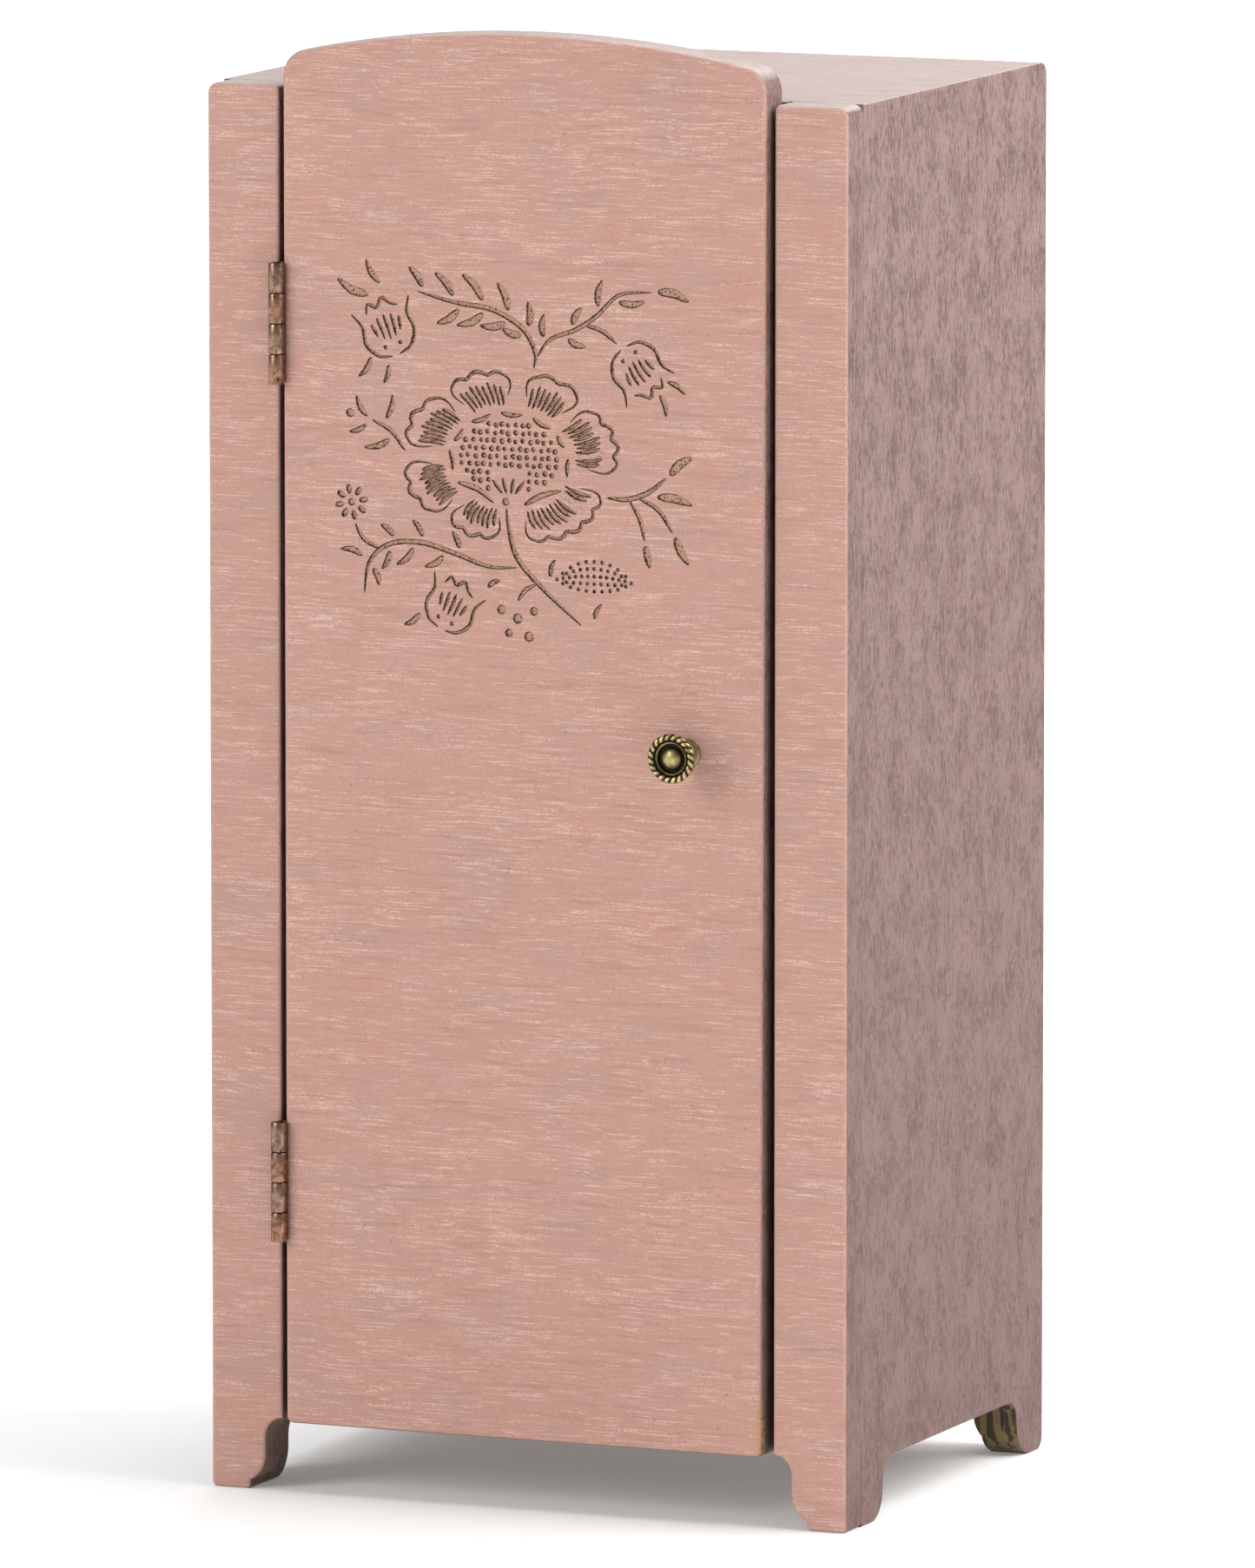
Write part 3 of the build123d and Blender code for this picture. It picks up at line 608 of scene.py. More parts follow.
# The engraving. Every mark is a disc drawn out along a path, sunk to a flat floor, with a
# softened lip. Distances are millimetres across and up from the middle of the bloom.

sprig = {
    "middle": (-2.0, 156.4), "depth": 0.36, "lip": 0.06, "lipWidth": 0.13, "slope": 0.17,
    "line": 0.58, "stem": 0.82, "seed": 0.40, "bloom": (17.4, 13.0), "eye": (8.2, 5.3),
}


def pathThrough(points):
    # a smooth path through given points, as a function of 0..1
    spots = [Vector(p) for p in points]
    if len(spots) == 2:
        spots.insert(1, (spots[0] + spots[1]) / 2)
    spots = [spots[0] * 2 - spots[1]] + spots + [spots[-1] * 2 - spots[-2]]
    spans = len(spots) - 3

    def at(t):
        t = min(max(t, 0.0), 1.0) * spans
        i = min(int(t), spans - 1)
        f = t - i
        a, b, c, d = spots[i:i + 4]
        return 0.5 * (2 * b + (c - a) * f + (2 * a - 5 * b + 4 * c - d) * f * f
                      + (3 * b - a - 3 * c + d) * f ** 3)
    return at


def bow(start, end, bend):
    # a path between two points, bowed sideways by a share of its length
    a, b = Vector(start), Vector(end)
    side = Vector((a.y - b.y, b.x - a.x)) * bend
    return pathThrough([a, (a + b) / 2 + side, b])


def cutMark(bm, path, half, steps=16, point=0.0, depth=None):
    # half is half the width, and point narrows the far end of a leaf
    depth = (depth or sprig["depth"]) * mm
    made = bmesh.ops.create_circle(bm, cap_ends=True, segments=steps, radius=1.0)["verts"]
    face = list({f for v in made for f in v.link_faces})
    levels = {v: 0 for v in made}
    cap = face
    for level in (1, 2):
        cap = raiseFaces(bm, cap, (0, 0, 0), dropBase=level == 2)
        for f in cap:
            for v in f.verts:
                levels[v] = level
    heights = (door["front"] * mm + depth, (door["front"] + sprig["lip"]) * mm, (door["front"] - sprig["lip"]) * mm)
    for vert, level in levels.items():
        u, v = vert.co.x, vert.co.y
        t = (u + 1) / 2
        spot = path(t)
        along = path(min(t + 0.02, 1.0)) - path(max(t - 0.02, 0.0))
        along.normalize()
        side = Vector((-along.y, along.x))
        swell = half * (1.0 - point * t)
        grow = (-min(sprig["slope"], 0.7 * half), 0.0, sprig["lipWidth"])[level]
        spot = spot + side * v * swell + (along * u + side * v) * grow
        vert.co = ((sprig["middle"][0] + spot.x) * mm, heights[level], (sprig["middle"][1] + spot.y) * mm)
    for vert in made:
        for f in vert.link_faces:
            f.material_index = 1
    face[0].material_index = 2
    top = {v for v, level in levels.items() if level == 2}
    for f in {f for v in top for f in v.link_faces}:
        f.material_index = 3
    return made


def cutDot(bm, x, z, radius):
    cutMark(bm, lambda t: Vector((x + (t - 0.5) * 2 * radius, z)), radius, 8)


def cutLeaf(bm, start, end, half, bend=0.12):
    cutMark(bm, bow(start, end, bend), half, 16, 0.35)


def cutLine(bm, points, half=None, steps=None):
    cutMark(bm, pathThrough(points), half or sprig["line"] / 2, steps or 12 * len(points))


def onBloom(degrees, share):
    # a point on the flower's oval, share of the way from the eye's middle to the petal tips
    a = math.radians(degrees)
    return Vector((sprig["bloom"][0] * share * math.cos(a), sprig["bloom"][1] * share * math.sin(a)))


def cutPetal(bm, start, end, scallops, bars, reach=1.0):
    # an outline with a frilled edge, and a fan of short bars inside it
    spots = [onBloom(start + 3.0, 0.72 * reach), onBloom(start + 1.0, 0.84 * reach)]
    count = scallops * 4
    for i in range(count + 1):
        share = i / count
        frill = 0.06 * math.sqrt(math.sin(math.pi * scallops * share) ** 2 + 0.05)
        crown = 0.06 * math.sin(math.pi * share)
        spots.append(onBloom(start + 2 + (end - start - 4) * share, (0.905 + frill + crown) * reach))
    spots += [onBloom(end - 1.0, 0.84 * reach), onBloom(end - 3.0, 0.72 * reach)]
    cutLine(bm, spots, steps=len(spots) * 7)
    for i in range(bars):
        share = (i + 0.5) / bars
        a = start + 4.5 + (end - start - 9) * share
        lift = 0.03 * math.sin(math.pi * share)
        inner = onBloom(a, (0.61 + lift - 0.02 * (i % 2)) * reach)
        outer = onBloom(a + 1.2, (0.83 + lift + 0.018 * (i % 3)) * reach)
        cutMark(bm, bow(outer, inner, 0.06), 0.40, 12, 0.42)


def cutEye(bm):
    # rows of seeds across the middle of the bloom, with longer ones round its foot
    across, up = sprig["eye"]
    rows = 9
    for row in range(rows):
        z = up * (1 - 2 * (row + 0.5) / rows)
        width = across * math.sqrt(1 - (z / up) ** 2)
        count = max(3, int(round(2 * width / 1.14)))
        for i in range(count):
            x = -width + 2 * width * (i + 0.5) / count
            if z < -0.4 * up and abs(x) < 2.4:
                continue
            jog = 0.12 * math.sin(row * 2.3 + i * 1.7)
            size = sprig["seed"] * (1 + 0.12 * math.sin(i * 1.3 + row))
            cutDot(bm, x + jog, z + 0.4 + 0.1 * math.cos(i * 2.9 + row), size)
    for x, lean, length in ((-1.9, -0.7, 1.9), (-0.7, -0.3, 2.3), (0.6, 0.2, 2.3), (1.8, 0.7, 1.9)):
        cutMark(bm, bow((x * 0.55, -5.0), (x + lean, -5.0 + length), 0.0), 0.3, 12)


def cutBud(bm, x, z, size, turn):
    # a half-open flower: two outer petals with flared tips, a frilled top and a fan of bars
    spin = Matrix.Rotation(math.radians(turn), 2)

    def at(a, b):
        return Vector((x, z)) + spin @ Vector((a, b)) * size
    for side in (-1, 1):
        petal = ((0.14, -1.0), (0.66, -0.82), (0.98, -0.3), (0.9, 0.3), (1.16, 0.86))
        cutLine(bm, [at(side * a, b) for a, b in petal], None, 48)
    cutLine(bm, [at(a, b) for a, b in ((-0.62, 0.66), (-0.44, 1.0), (-0.14, 0.8), (0.14, 1.08), (0.4, 0.8), (0.66, 0.66))], None, 48)
    for a, top, foot in ((-0.56, 0.3, -0.2), (-0.28, 0.46, -0.36), (0.0, 0.5, -0.42), (0.28, 0.46, -0.36), (0.56, 0.3, -0.2)):
        cutMark(bm, bow(at(a, top), at(a * 0.8, foot), 0.03), 0.34, 14, 0.3)
    for a, b in ((-0.3, -0.62), (0.3, -0.62)):
        cutDot(bm, *at(a, b), 0.34)


def cutDaisy(bm, x, z, size):
    cutDot(bm, x, z, size * 0.22)
    for i in range(8):
        a = math.radians(i * 45 + 12)
        near = Vector((x + size * 0.45 * math.cos(a), z + size * 0.45 * math.sin(a)))
        far = Vector((x + size * math.cos(a), z + size * math.sin(a)))
        cutMark(bm, bow(near, far, 0.0), size * 0.17, 12)


def cutSideLeaf(bm, path, share, side, length, half=0.62, lean=38, gap=0.8):
    # a leaf set off a stem, leaning the way that the stem grows
    spot = path(share)
    along = (path(min(share + 0.03, 1)) - path(max(share - 0.03, 0))).normalized()
    away = Matrix.Rotation(math.radians(lean * side), 2) @ along
    start = spot + away * gap + Vector((-along.y, along.x)) * side * 0.4
    cutLeaf(bm, start, start + away * length, half, 0.1 * side)


def cutStipple(bm, x, z, across, up):
    # a leaf drawn as rows of dots between two bowed edges
    for row in range(-2, 3):
        count = 13 - abs(row) * 2
        for i in range(count):
            share = (i + 0.5) / count * 2 - 1
            width = up * (1 - share * share) ** 0.7
            step = across * (1 - 0.06 * abs(row)) * share
            if abs(row) == 1 and width < 0.8:
                continue
            cutDot(bm, x + step, z + width * row / 2 - 0.02 * step * step, 0.31)


def cutterObject(bm, name):
    bmesh.ops.recalc_face_normals(bm, faces=bm.faces[:])
    mesh = bpy.data.meshes.new(name)
    bm.to_mesh(mesh)
    bm.free()
    tool = bpy.data.objects.new(name, mesh)
    bpy.context.scene.collection.objects.link(tool)
    return tool


def cutAway(piece, tool):
    for material in piece.data.materials:
        tool.data.materials.append(material)
    cut = piece.modifiers.new("cut", "BOOLEAN")
    cut.operation = "DIFFERENCE"
    cut.solver = "EXACT"
    cut.material_mode = "INDEX"
    cut.use_self = True
    cut.object = tool
    depsgraph = bpy.context.evaluated_depsgraph_get()
    result = bpy.data.meshes.new_from_object(piece.evaluated_get(depsgraph))
    piece.modifiers.remove(cut)
    old = piece.data
    name = old.name
    piece.data = result
    bpy.data.meshes.remove(old)
    result.name = name
    bpy.data.objects.remove(tool)


def engraveStems():
    bm = bmesh.new()
    stems = {
        "root": [(-0.4, -7.2), (0.1, -10.6), (1.4, -14.6), (5.4, -18.8), (11.6, -24.0)],
        "left": [(1.4, -15.9), (-3.4, -15.9), (-8.8, -14.2), (-14.0, -12.9), (-19.0, -13.3), (-22.3, -16.0), (-23.2, -20.8)],
        "crown": [(4.0, 13.6), (4.2, 16.0), (2.2, 19.4), (-2.6, 22.0), (-8.4, 22.8), (-14.6, 24.2)],
        "right": [(15.6, -4.9), (18.8, -5.0), (22.2, -3.8), (25.0, -1.6)],
    }
    paths = {}
    for name, spots in stems.items():
        paths[name] = pathThrough(spots)
        cutMark(bm, paths[name], sprig["stem"] / 2, 16 * len(spots))
    return cutterObject(bm, "stemTool"), paths


def engraveTwigs():
    # twigs that leave the stems, cut a little shallower so that their floors stay apart
    bm = bmesh.new()
    twigs = {
        "fork": [(4.4, 15.2), (6.6, 18.0), (10.6, 19.6), (14.0, 21.8), (17.6, 25.0), (22.8, 25.6)],
        "bud": [(11.8, 20.4), (14.8, 19.6), (17.2, 17.8)],
        "rightLow": [(19.2, -5.1), (20.8, -7.8), (21.6, -11.0)],
        "rightMid": [(20.6, -4.7), (23.8, -6.4), (26.0, -9.6)],
        "daisy": [(-20.6, -14.2), (-23.2, -12.8), (-24.6, -10.6)],
        "sprout": [(-16.6, 0.6), (-18.8, 3.4), (-21.8, 4.9)],
        "berries": [(4.4, -18.2), (2.6, -19.2), (1.4, -20.8)],
    }
    paths = {}
    for name, spots in twigs.items():
        paths[name] = pathThrough(spots)
        cutMark(bm, paths[name], sprig["stem"] / 2 - 0.06, 14 * len(spots), depth=sprig["depth"] - 0.04)
    return cutterObject(bm, "twigTool"), paths


def engraveFlowers(stems, twigs):
    bm = bmesh.new()
    petals = ((-8, 42, 4, 10, 1.0), (46, 80, 2, 7, 1.02), (88, 127, 3, 8, 1.0), (131, 174, 3, 9, 0.98),
              (184, 226, 3, 9, 0.98), (230, 265, 3, 7, 0.93), (280, 339, 5, 12, 0.97))
    for petal in petals:
        cutPetal(bm, *petal)
    cutEye(bm)
    for start, end in ((160, 142), (130, 108), (98, 76), (66, 44), (34, 18)):
        cutLeaf(bm, onBloom(start, 0.535), onBloom(end, 0.535), 0.46, -0.08)
    accents = (((9.5, 0.6), (9.3, -2.2), 0.42, -0.05), ((-9.5, 1.0), (-9.0, -2.0), 0.42, 0.08),
               ((-8.2, -3.7), (-2.4, -6.5), 0.56, 0.1), ((2.4, -6.6), (8.4, -4.2), 0.56, 0.06))
    for start, end, half, bend in accents:
        cutLeaf(bm, start, end, half, bend)
    cutDot(bm, -0.5, -6.2, 0.62)
    for share, side, length in ((0.36, -1, 3.6), (0.5, -1, 4.4), (0.64, -1, 5.0), (0.8, -1, 4.4), (0.96, -1, 3.6),
                                (0.34, 1, 3.2), (0.48, 1, 4.2), (0.62, 1, 4.8), (0.76, 1, 4.2)):
        cutSideLeaf(bm, stems["crown"], share, side, length, 0.74)
    for share, side, length in ((0.36, 1, 3.2), (0.52, 1, 3.4), (0.66, 1, 2.8), (0.84, 1, 2.4),
                                (0.3, -1, 2.4), (0.48, -1, 2.6), (0.62, -1, 2.4)):
        cutSideLeaf(bm, stems["left"], share, side, length * 1.12, 0.62, lean=46, gap=0.75)
    for share, side, length in ((0.14, 1, 3.4), (0.36, 1, 3.0), (0.62, 1, 4.0), (0.74, -1, 4.2), (0.3, -1, 3.0)):
        cutSideLeaf(bm, twigs["fork"], share, side, length, 0.66)
    leaves = (((23.6, 25.7), (28.6, 24.4), 0.85, 0.1), ((25.6, -1.2), (29.2, 1.6), 0.85, 0.1),
              ((23.6, -4.4), (29.2, -5.4), 0.85, 0.06), ((26.4, -10.2), (28.6, -14.2), 0.8, -0.05),
              ((21.7, -11.7), (22.4, -15.0), 0.7, 0.0), ((-19.6, 5.2), (-18.6, 8.8), 0.55, -0.1),
              ((-19.0, 2.2), (-23.2, 0.8), 0.6, 0.1), ((-22.6, 5.4), (-24.4, 8.4), 0.55, 0.1),
              ((-22.8, 4.2), (-25.6, 3.0), 0.5, 0.1), ((-23.4, -15.2), (-27.0, -14.4), 0.6, -0.1),
              ((-22.4, 23.4), (-27.4, 25.6), 0.8, 0.1), ((-20.6, 25.2), (-22.8, 28.6), 0.6, 0.1),
              ((-22.0, 14.2), (-24.0, 11.2), 0.55, 0.1), ((-19.2, 13.2), (-20.0, 10.4), 0.5, 0.1),
              ((24.0, 10.6), (25.0, 7.4), 0.55, 0.1), ((25.2, 12.6), (28.0, 10.8), 0.5, 0.1),
              ((-14.2, -23.4), (-16.8, -25.2), 0.6, 0.1), ((-3.4, -19.0), (-1.4, -17.9), 0.5, 0.1),
              ((13.6, -22.9), (14.8, -20.6), 0.45, 0.1), ((6.6, -17.0), (7.4, -14.4), 0.5, 0.1))
    for start, end, half, bend in leaves:
        cutLeaf(bm, start, end, half, bend)
    cutDot(bm, -25.4, 5.8, 0.7)
    cutDaisy(bm, -25.2, -7.4, 2.7)
    cutBud(bm, -19.4, 18.6, 4.2, 20)
    cutBud(bm, 20.6, 14.0, 4.0, 215)
    cutBud(bm, -9.2, -22.0, 3.9, -25)
    for x, z, size in ((-1.2, -22.2, 0.72), (1.4, -23.4, 0.8), (4.0, -22.2, 0.68), (0.0, -25.6, 0.66), (3.2, -26.0, 0.8)):
        cutDot(bm, x, z, size)
    cutStipple(bm, 13.6, -16.6, 6.4, 2.2)
    return cutterObject(bm, "flowerTool")


def backRecesses():
    # room for the screw's head and the catch's steel disc
    bm = bmesh.new()
    for (x, z), (radius, depth) in ((door["screwAt"], door["screwRecess"]), (door["strikeAt"], door["strikeRecess"])):
        made = bmesh.ops.create_cone(bm, cap_ends=True, segments=32, radius1=(radius + 0.05) * mm,
                                     radius2=(radius + 0.05) * mm, depth=2 * depth * mm)["verts"]
        turn = Matrix.Rotation(math.radians(90), 4, "X")
        bmesh.ops.transform(bm, matrix=Matrix.Translation((x * mm, door["back"] * mm, z * mm)) @ turn, verts=made)
    return cutterObject(bm, "recessTool")


def buildDoor():
    doorPaint = makePaint("doorPaint", *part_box("door_panel"), brushed=True, cracked=False,
                          cornerWear=(38.6, -36.9, 3.9))
    bm = bmesh.new()
    doorSlab(bm)
    piece = finishPiece(bm, "engravedDoor", "door", ["door_panel"],
                        [doorPaint, scorchedWall, scorchedFloor, paintedLip])
    cutAway(piece, backRecesses())
    stemTool, stems = engraveStems()
    cutAway(piece, stemTool)
    twigTool, twigs = engraveTwigs()
    cutAway(piece, twigTool)
    cutAway(piece, engraveFlowers(stems, twigs))
    mesh = piece.data
    mesh.set_sharp_from_angle(angle=math.radians(34))
    return piece


# The knob: turned brass with a roped rim round a dish and a domed button

knobSizes = {
    "x": 26.25, "z": 114.4, "front": -36.85, "reach": 6.3, "base": 2.2, "baseThick": 0.6, "neck": 1.35,
    "rim": 3.12, "rope": 0.56, "dish": 1.05, "button": 1.62, "strands": 20, "steps": 96,
}


def knobProfile(bm):
    # drawn in the plane of the axis: radius along X, height along Z, then laid over to face -Y
    k = knobSizes
    rimHeight = k["reach"] - k["rope"]
    spots = [(0.0, 0.0), (k["base"], 0.0), (k["base"] + 0.06, 0.12), (k["base"] + 0.06, k["baseThick"] - 0.18),
             (k["base"] - 0.1, k["baseThick"]), (k["neck"] + 0.35, k["baseThick"] + 0.12),
             (k["neck"] + 0.06, k["baseThick"] + 0.55), (k["neck"], k["baseThick"] + 1.1),
             (k["neck"] + 0.1, k["baseThick"] + 1.7), (k["neck"] + 0.45, k["baseThick"] + 2.3),
             (k["neck"] + 1.0, k["baseThick"] + 2.85), (k["rim"] - 0.25, rimHeight - 0.85),
             (k["rim"] + 0.2, rimHeight - 0.62), (k["rim"] + 0.3, rimHeight - 0.35), (k["rim"], rimHeight),
             (k["rim"] - 0.42, rimHeight + 0.1), (k["rim"] - 0.6, rimHeight - 0.05),
             (k["rim"] - 0.68, rimHeight + 0.16), (k["rim"] - 0.8, rimHeight + 0.2), (k["rim"] - 0.92, rimHeight + 0.1),
             (k["rim"] - 1.0, rimHeight - 0.25), (k["rim"] - 1.08, k["reach"] - k["dish"]),
             (k["button"] + 0.12, k["reach"] - k["dish"]), (k["button"], k["reach"] - k["dish"] + 0.1)]
    for i in range(1, 9):
        a = math.radians(90 * i / 8)
        spots.append((k["button"] * math.cos(a), k["reach"] - k["dish"] + 0.1 + (k["dish"] + 0.02) * math.sin(a) * 0.98))
    vert = penStart(bm, (0, 0, 0))
    for x, z in spots[1:]:
        vert = penTo(bm, vert, (x * mm, 0, z * mm))
    bmesh.ops.spin(bm, geom=bm.verts[:] + bm.edges[:], cent=(0, 0, 0), axis=(0, 0, 1),
                   angle=math.radians(360), steps=k["steps"], use_merge=True)
    bmesh.ops.remove_doubles(bm, verts=bm.verts[:], dist=0.004 * mm)


def ropeRing(bm):
    # a ring of slanting strands: a full spin of a small circle, swelled and pinched
    k = knobSizes
    before = set(bm.verts)
    made = bmesh.ops.create_circle(bm, cap_ends=False, segments=14, radius=k["rope"] * mm)["verts"]
    bmesh.ops.rotate(bm, verts=made, cent=(0, 0, 0), matrix=Matrix.Rotation(math.radians(90), 3, "X"))
    bmesh.ops.translate(bm, verts=made, vec=(k["rim"] * mm, 0, (k["reach"] - k["rope"]) * mm))
    edges = list({e for v in made for e in v.link_edges})
    bmesh.ops.spin(bm, geom=made + edges, cent=(0, 0, 0), axis=(0, 0, 1), angle=math.radians(360),
                   steps=k["strands"] * 12, use_merge=True)
    grooves = {}
    for vert in [v for v in bm.verts if v not in before]:
        around = math.atan2(vert.co.y, vert.co.x)
        out = Vector((math.cos(around), math.sin(around), 0))
        hub = out * k["rim"] * mm + Vector((0, 0, (k["reach"] - k["rope"]) * mm))
        arm = vert.co - hub
        tilt = math.atan2(arm.z, arm.dot(out))
        wave = abs(math.cos(k["strands"] * around / 2 - tilt * 1.05))
        swell = 0.7 + 0.32 * wave ** 0.45
        vert.co = hub + arm * swell
        # the rope's inner side and the gaps between strands go dark in the mask: tarnish and painted shade
        inward = min(1.0, max(0.0, -math.cos(tilt) * 2.2 - 0.7))
        grooves[vert] = max(inward, 0.0, min(1.0, (0.84 - wave) / 0.26))
    return grooves


def buildKnob():
    k = knobSizes
    bm = bmesh.new()
    layer = bm.verts.layers.float.new("tarnishAndShade")
    knobProfile(bm)
    body = set(bm.verts)
    grooves = ropeRing(bm)
    # the mask: tarnish and painted shade in the dish, painted shade behind the head and towards the button's edge
    for vert in bm.verts:
        if vert in body:
            reach = math.hypot(vert.co.x, vert.co.y) / mm
            low = k["reach"] - vert.co.z / mm
            onRing = abs(reach - (k["rim"] - 0.8)) < 0.13 and low < 0.8
            inDish = 0.72 if onRing else 1.0
            onButton = 0.2 + 0.7 * max(0.0, reach / k["button"] - 0.4) / 0.6
            vert[layer] = 0.66 if low > 1.3 else onButton if reach <= k["button"] else inDish
        else:
            vert[layer] = grooves.get(vert, 0.0)
    lay = Matrix.Rotation(math.radians(90), 4, "X")
    bmesh.ops.transform(bm, matrix=Matrix.Translation((k["x"] * mm, k["front"] * mm, k["z"] * mm)) @ lay, verts=bm.verts[:])
    return finishPiece(bm, "ropedKnob", "door", ["knob"], [antiqueBrass], smoothBelow=1.0)


# The hinges: strips rolled round a pin, four knuckles to a barrel

hinge = {
    "x": -38.85, "y": -37.656, "upper": 166.0, "lower": 38.0, "length": 18.0, "gap": 0.1, "barrel": 1.2,
    "bore": 0.62, "leaf": 0.5, "reach": 6.0, "between": 0.05, "pin": 0.5, "recess": 0.3, "relief": 1.35,
}


def buildLeaf(place, owner):
    h = hinge
    side = 1 if owner == "door" else -1
    step = (h["length"] - 3 * h["gap"]) / 4
    first = 0 if owner == "door" else 1
    bm = bmesh.new()
    near, far = side * h["between"], side * (h["between"] + h["leaf"])
    for n in (first, first + 2):
        low = n * (step + h["gap"])
        before = set(bm.verts)
        a = bmesh.ops.create_vert(bm, co=(0, h["bore"], low))["vert"][0]
        b = bmesh.ops.create_vert(bm, co=(0, h["barrel"], low))["vert"][0]
        edge = bmesh.ops.contextual_create(bm, geom=[a, b])["edges"][0]
        turn = Matrix.Rotation(math.radians(-14 * side), 3, "Z")
        bmesh.ops.rotate(bm, verts=[a, b], cent=(0, 0, 0), matrix=turn)
        bmesh.ops.spin(bm, geom=[a, b, edge], cent=(0, 0, 0), axis=(0, 0, 1), angle=math.radians(-326 * side), steps=44)
        faces = list({f for v in bm.verts if v not in before for f in v.link_faces})
        raiseFaces(bm, faces, (0, 0, step))
        rims = [e for e in bm.edges if e.verts[0] not in before
                and all(abs(math.hypot(v.co.x, v.co.y) - h["barrel"]) < 0.001 for v in e.verts)
                and abs(e.verts[0].co.z - e.verts[1].co.z) < 0.001]
        roundEdges(bm, rims, 0.16, 2)
        neck = bmesh.ops.create_cube(bm, size=1.0)["verts"]
        bmesh.ops.scale(bm, verts=neck, vec=(h["leaf"], h["relief"] - 0.8, step))
        bmesh.ops.translate(bm, verts=neck, vec=((near + far) / 2, (h["relief"] + 0.8) / 2, low + step / 2))
    plate = bmesh.ops.create_cube(bm, size=1.0)["verts"]
    depth = h["reach"] - h["relief"]
    bmesh.ops.scale(bm, verts=plate, vec=(h["leaf"], depth, h["length"]))
    bmesh.ops.translate(bm, verts=plate, vec=((near + far) / 2, h["relief"] + depth / 2, h["length"] / 2))
    corners = list({e for v in plate for e in v.link_edges})
    roundEdges(bm, corners, 0.08, 2)
    bmesh.ops.scale(bm, verts=bm.verts[:], vec=(mm, mm, mm))
    bmesh.ops.translate(bm, verts=bm.verts[:], vec=(h["x"] * mm, h["y"] * mm, h[place] * mm))
    name = place + ("Door" if owner == "door" else "Frame") + "Leaf"
    return finishPiece(bm, name, "door" if owner == "door" else "carcass", [f"{place}_hinge_{owner}_leaf"],
                       [bronzedDoor if owner == "door" else bronzedFrame], smoothBelow=0.000003)


def buildPin(place):
    h = hinge
    bm = bmesh.new()
    length = h["length"] - 2 * h["recess"]
    made = bmesh.ops.create_cone(bm, cap_ends=True, segments=28, radius1=h["pin"], radius2=h["pin"], depth=length)["verts"]
    ends = [e for e in bm.edges if abs(e.verts[0].co.z - e.verts[1].co.z) < 0.001]
    roundEdges(bm, ends, 0.14, 3)
    bmesh.ops.scale(bm, verts=bm.verts[:], vec=(mm, mm, mm))
    bmesh.ops.translate(bm, verts=bm.verts[:], vec=(h["x"] * mm, h["y"] * mm, (h[place] + h["length"] / 2) * mm))
    return finishPiece(bm, place + "HingePin", "carcass", [f"{place}_hinge_pin"], [bronzedFrame], smoothBelow=1.0)


buildDoor()
print("door cut and engraved")
buildKnob()
for spot in ("upper", "lower"):
    for owner in ("frame", "door"):
        buildLeaf(spot, owner)
    buildPin(spot)
print("knob and hinges made")

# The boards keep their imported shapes, and each gets a coat of its own

brushedBoards = ("front_stile_left", "front_stile_right")
flatBoards = ("top_panel", "bottom_panel")
uprightBoards = ("side_panel_left", "side_panel_right", "back_panel")
footHeight = 16.0
for name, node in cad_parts.items():
    if name in brushedBoards:
        finish = makePaint(name + "_paint", *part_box(name), brushed=True)
    elif name in uprightBoards:
        finish = makePaint(name + "_paint", *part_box(name), stained=footHeight)
    elif name in flatBoards:
        finish = makePaint(name + "_paint", *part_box(name), turn=(0, 90, 0), cracked=False)
    elif "dowel" in name or "rail" in name:
        finish = bareWood
    elif "nails" in name:
        finish = bronzedDoor
    else:
        finish = platedSteel
    node.data.materials.clear()
    node.data.materials.append(finish)
print("boards painted")


# Camera, light and floor

studio = {
    "target": (0.01626, -0.03535, 0.10922), "distance": 2.443, "azimuth": 22.94, "pitch": 7.86,
    "lens": 382.6, "sensor": 36.0, "world": 0.30, "floorTone": 0.9,
    "glow": (0.16, 0.8), "glowFrom": 250.0, "glowTo": 1500.0,
}


def aim(spot, look):
    return (Vector(look) - Vector(spot)).to_track_quat("-Z", "Y").to_euler()


def addCamera():
    data = bpy.data.cameras.new("studioCamera")
    data.sensor_width = studio["sensor"]
    data.sensor_height = studio["sensor"]
    data.sensor_fit = "AUTO"
    data.lens = studio["lens"]
    data.clip_end = 20
    camera = bpy.data.objects.new("studioCamera", data)
    a, p = math.radians(studio["azimuth"]), math.radians(studio["pitch"])
    view = Vector((-math.sin(a) * math.cos(p), math.cos(a) * math.cos(p), -math.sin(p)))
    camera.location = Vector(studio["target"]) - view * studio["distance"]
    camera.rotation_euler = view.to_track_quat("-Z", "Y").to_euler()
    bpy.context.scene.collection.objects.link(camera)
    bpy.context.scene.camera = camera


def addSoftbox(name, spot, look, size, power, tint=(1, 1, 1)):
    data = bpy.data.lights.new(name, "AREA")
    data.shape = "RECTANGLE"
    data.size, data.size_y = size
    data.energy = power
    data.color = tint
    lamp = bpy.data.objects.new(name, data)
    lamp.location = spot
    lamp.rotation_euler = aim(spot, look)
    bpy.context.scene.collection.objects.link(lamp)
    return lamp


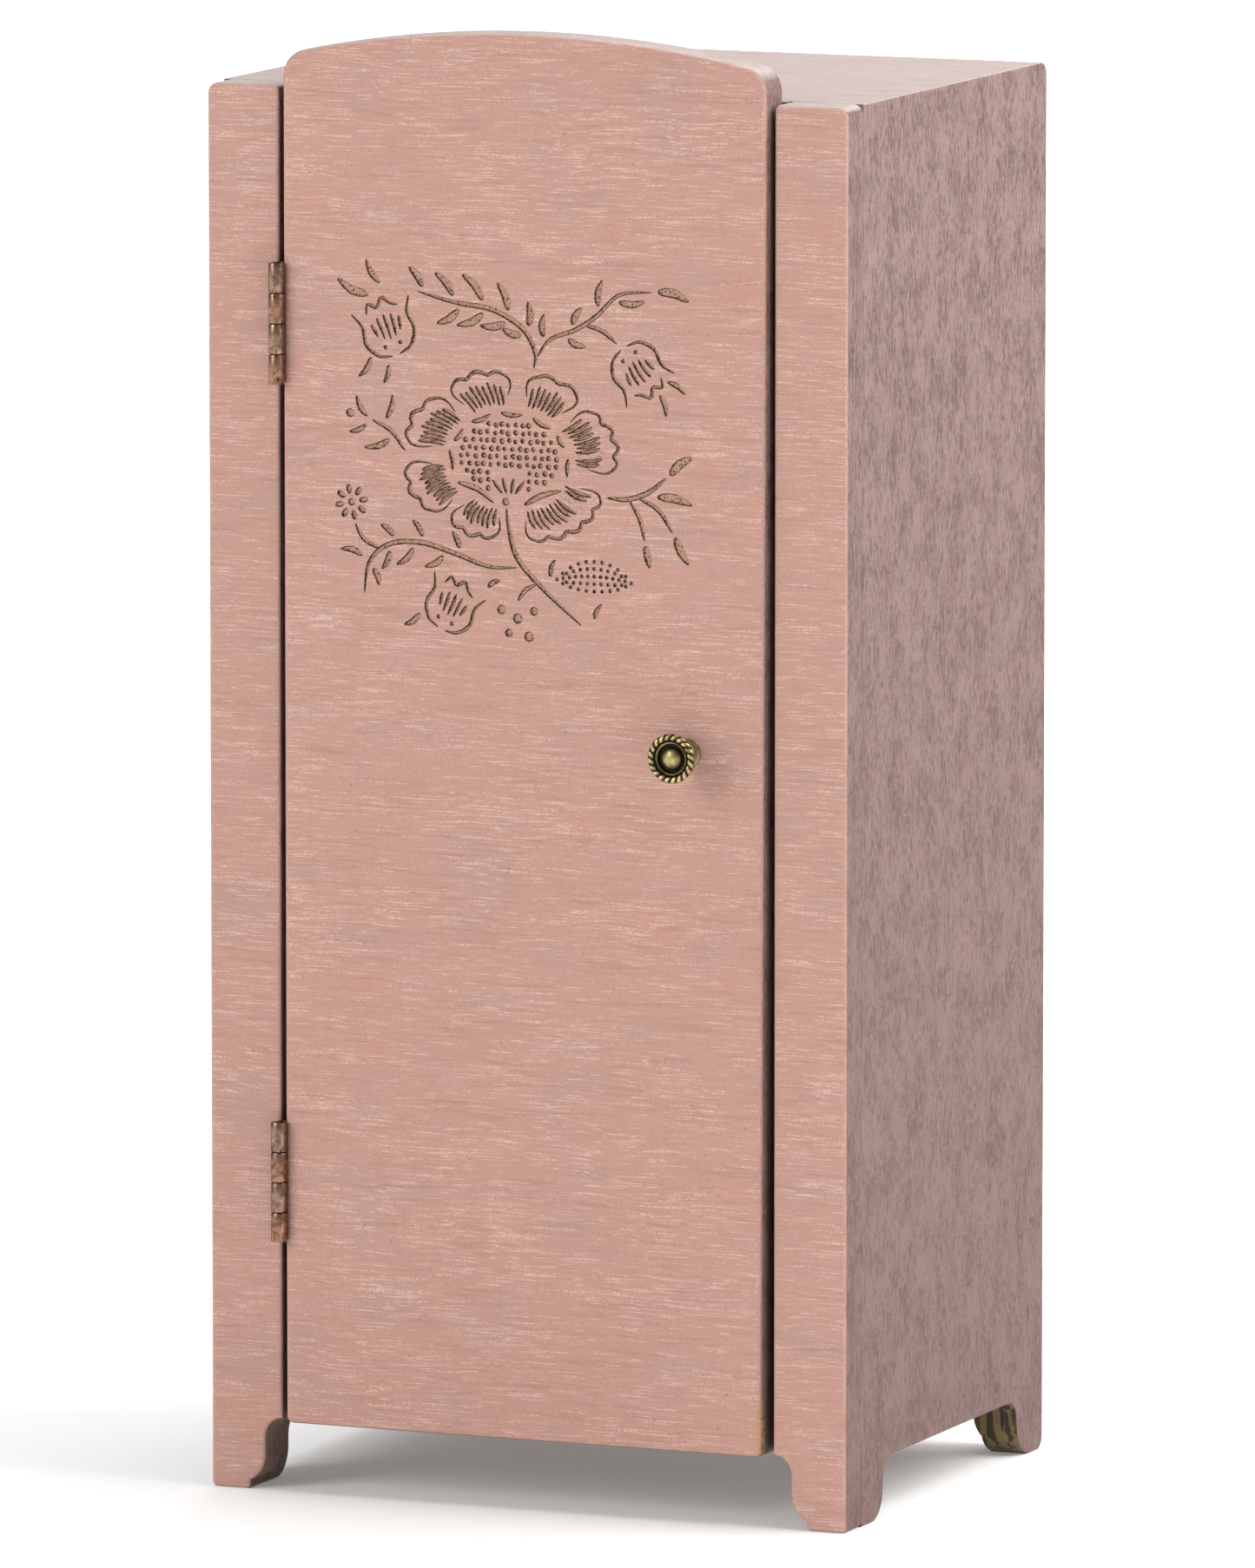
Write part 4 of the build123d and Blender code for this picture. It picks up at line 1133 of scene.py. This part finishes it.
def addFloor():
    bm = bmesh.new()
    bmesh.ops.create_grid(bm, x_segments=1, y_segments=1, size=4.0)
    mesh = bpy.data.meshes.new("floor")
    bm.to_mesh(mesh)
    bm.free()
    floor = bpy.data.objects.new("floor", mesh)
    bpy.context.scene.collection.objects.link(floor)
    material, tree, shader, spot = startMaterial("paleFloor")
    cloud = noise(tree, spot, 0.002, 2.0)
    tone = studio["floorTone"]
    tint = blendColour(tree, cloud, (tone, tone, tone, 1), (tone * 1.02, tone * 1.02, tone * 1.02, 1))
    feed(tree, shader.inputs["Base Color"], tint)
    shader.inputs["Roughness"].default_value = 0.9
    # the floor glows: painted light, faint near the wardrobe where it lifts the shadow, and strong far off where it
    # whitens the floor
    reach = addNode(tree, "ShaderNodeVectorMath", operation="LENGTH")
    feed(tree, reach.inputs[0], spot)
    far = ease(tree, reach.outputs["Value"], studio["glowFrom"], studio["glowTo"])
    near, beyond = studio["glow"]
    glow = blendColour(tree, far, (near, near, near, 1), (beyond, beyond, beyond, 1))
    feed(tree, shader.inputs["Emission Color"], glow)
    shader.inputs["Emission Strength"].default_value = 1.0
    mesh.materials.append(material)


def addWorld():
    world = bpy.data.worlds.new("studioWorld")
    world.use_nodes = True
    back = world.node_tree.nodes["Background"]
    back.inputs["Color"].default_value = (1, 1, 1, 1)
    seen = addNode(world.node_tree, "ShaderNodeLightPath").outputs["Is Camera Ray"]
    lift = calc(world.node_tree, "MULTIPLY", seen, 1.0 - studio["world"])
    feed(world.node_tree, back.inputs["Strength"], calc(world.node_tree, "ADD", studio["world"], lift))
    bpy.context.scene.world = world


addCamera()
addFloor()
addWorld()
lamps = {
    "keyBox": ((-1.5, -2.0, 1.2), (0, 0, 0.11), (1.3, 1.3), 32),
    "sideBox": ((0.42, 0.08, 0.42), (0.05, 0.02, 0.19), (0.46, 0.46), 3.1),
    "topBox": ((0.0, 0.6, 2.2), (0, 0, 0.1), (2.4, 2.4), 30),
    "backBox": ((0.0, 2.6, 2.4), (0, 0.4, 0.0), (2.6, 1.2), 20),
}
for name, (spot, look, size, power) in lamps.items():
    addSoftbox(name, spot, look, size, power)
bpy.context.scene.view_settings.view_transform = "Standard"
print("studio set")
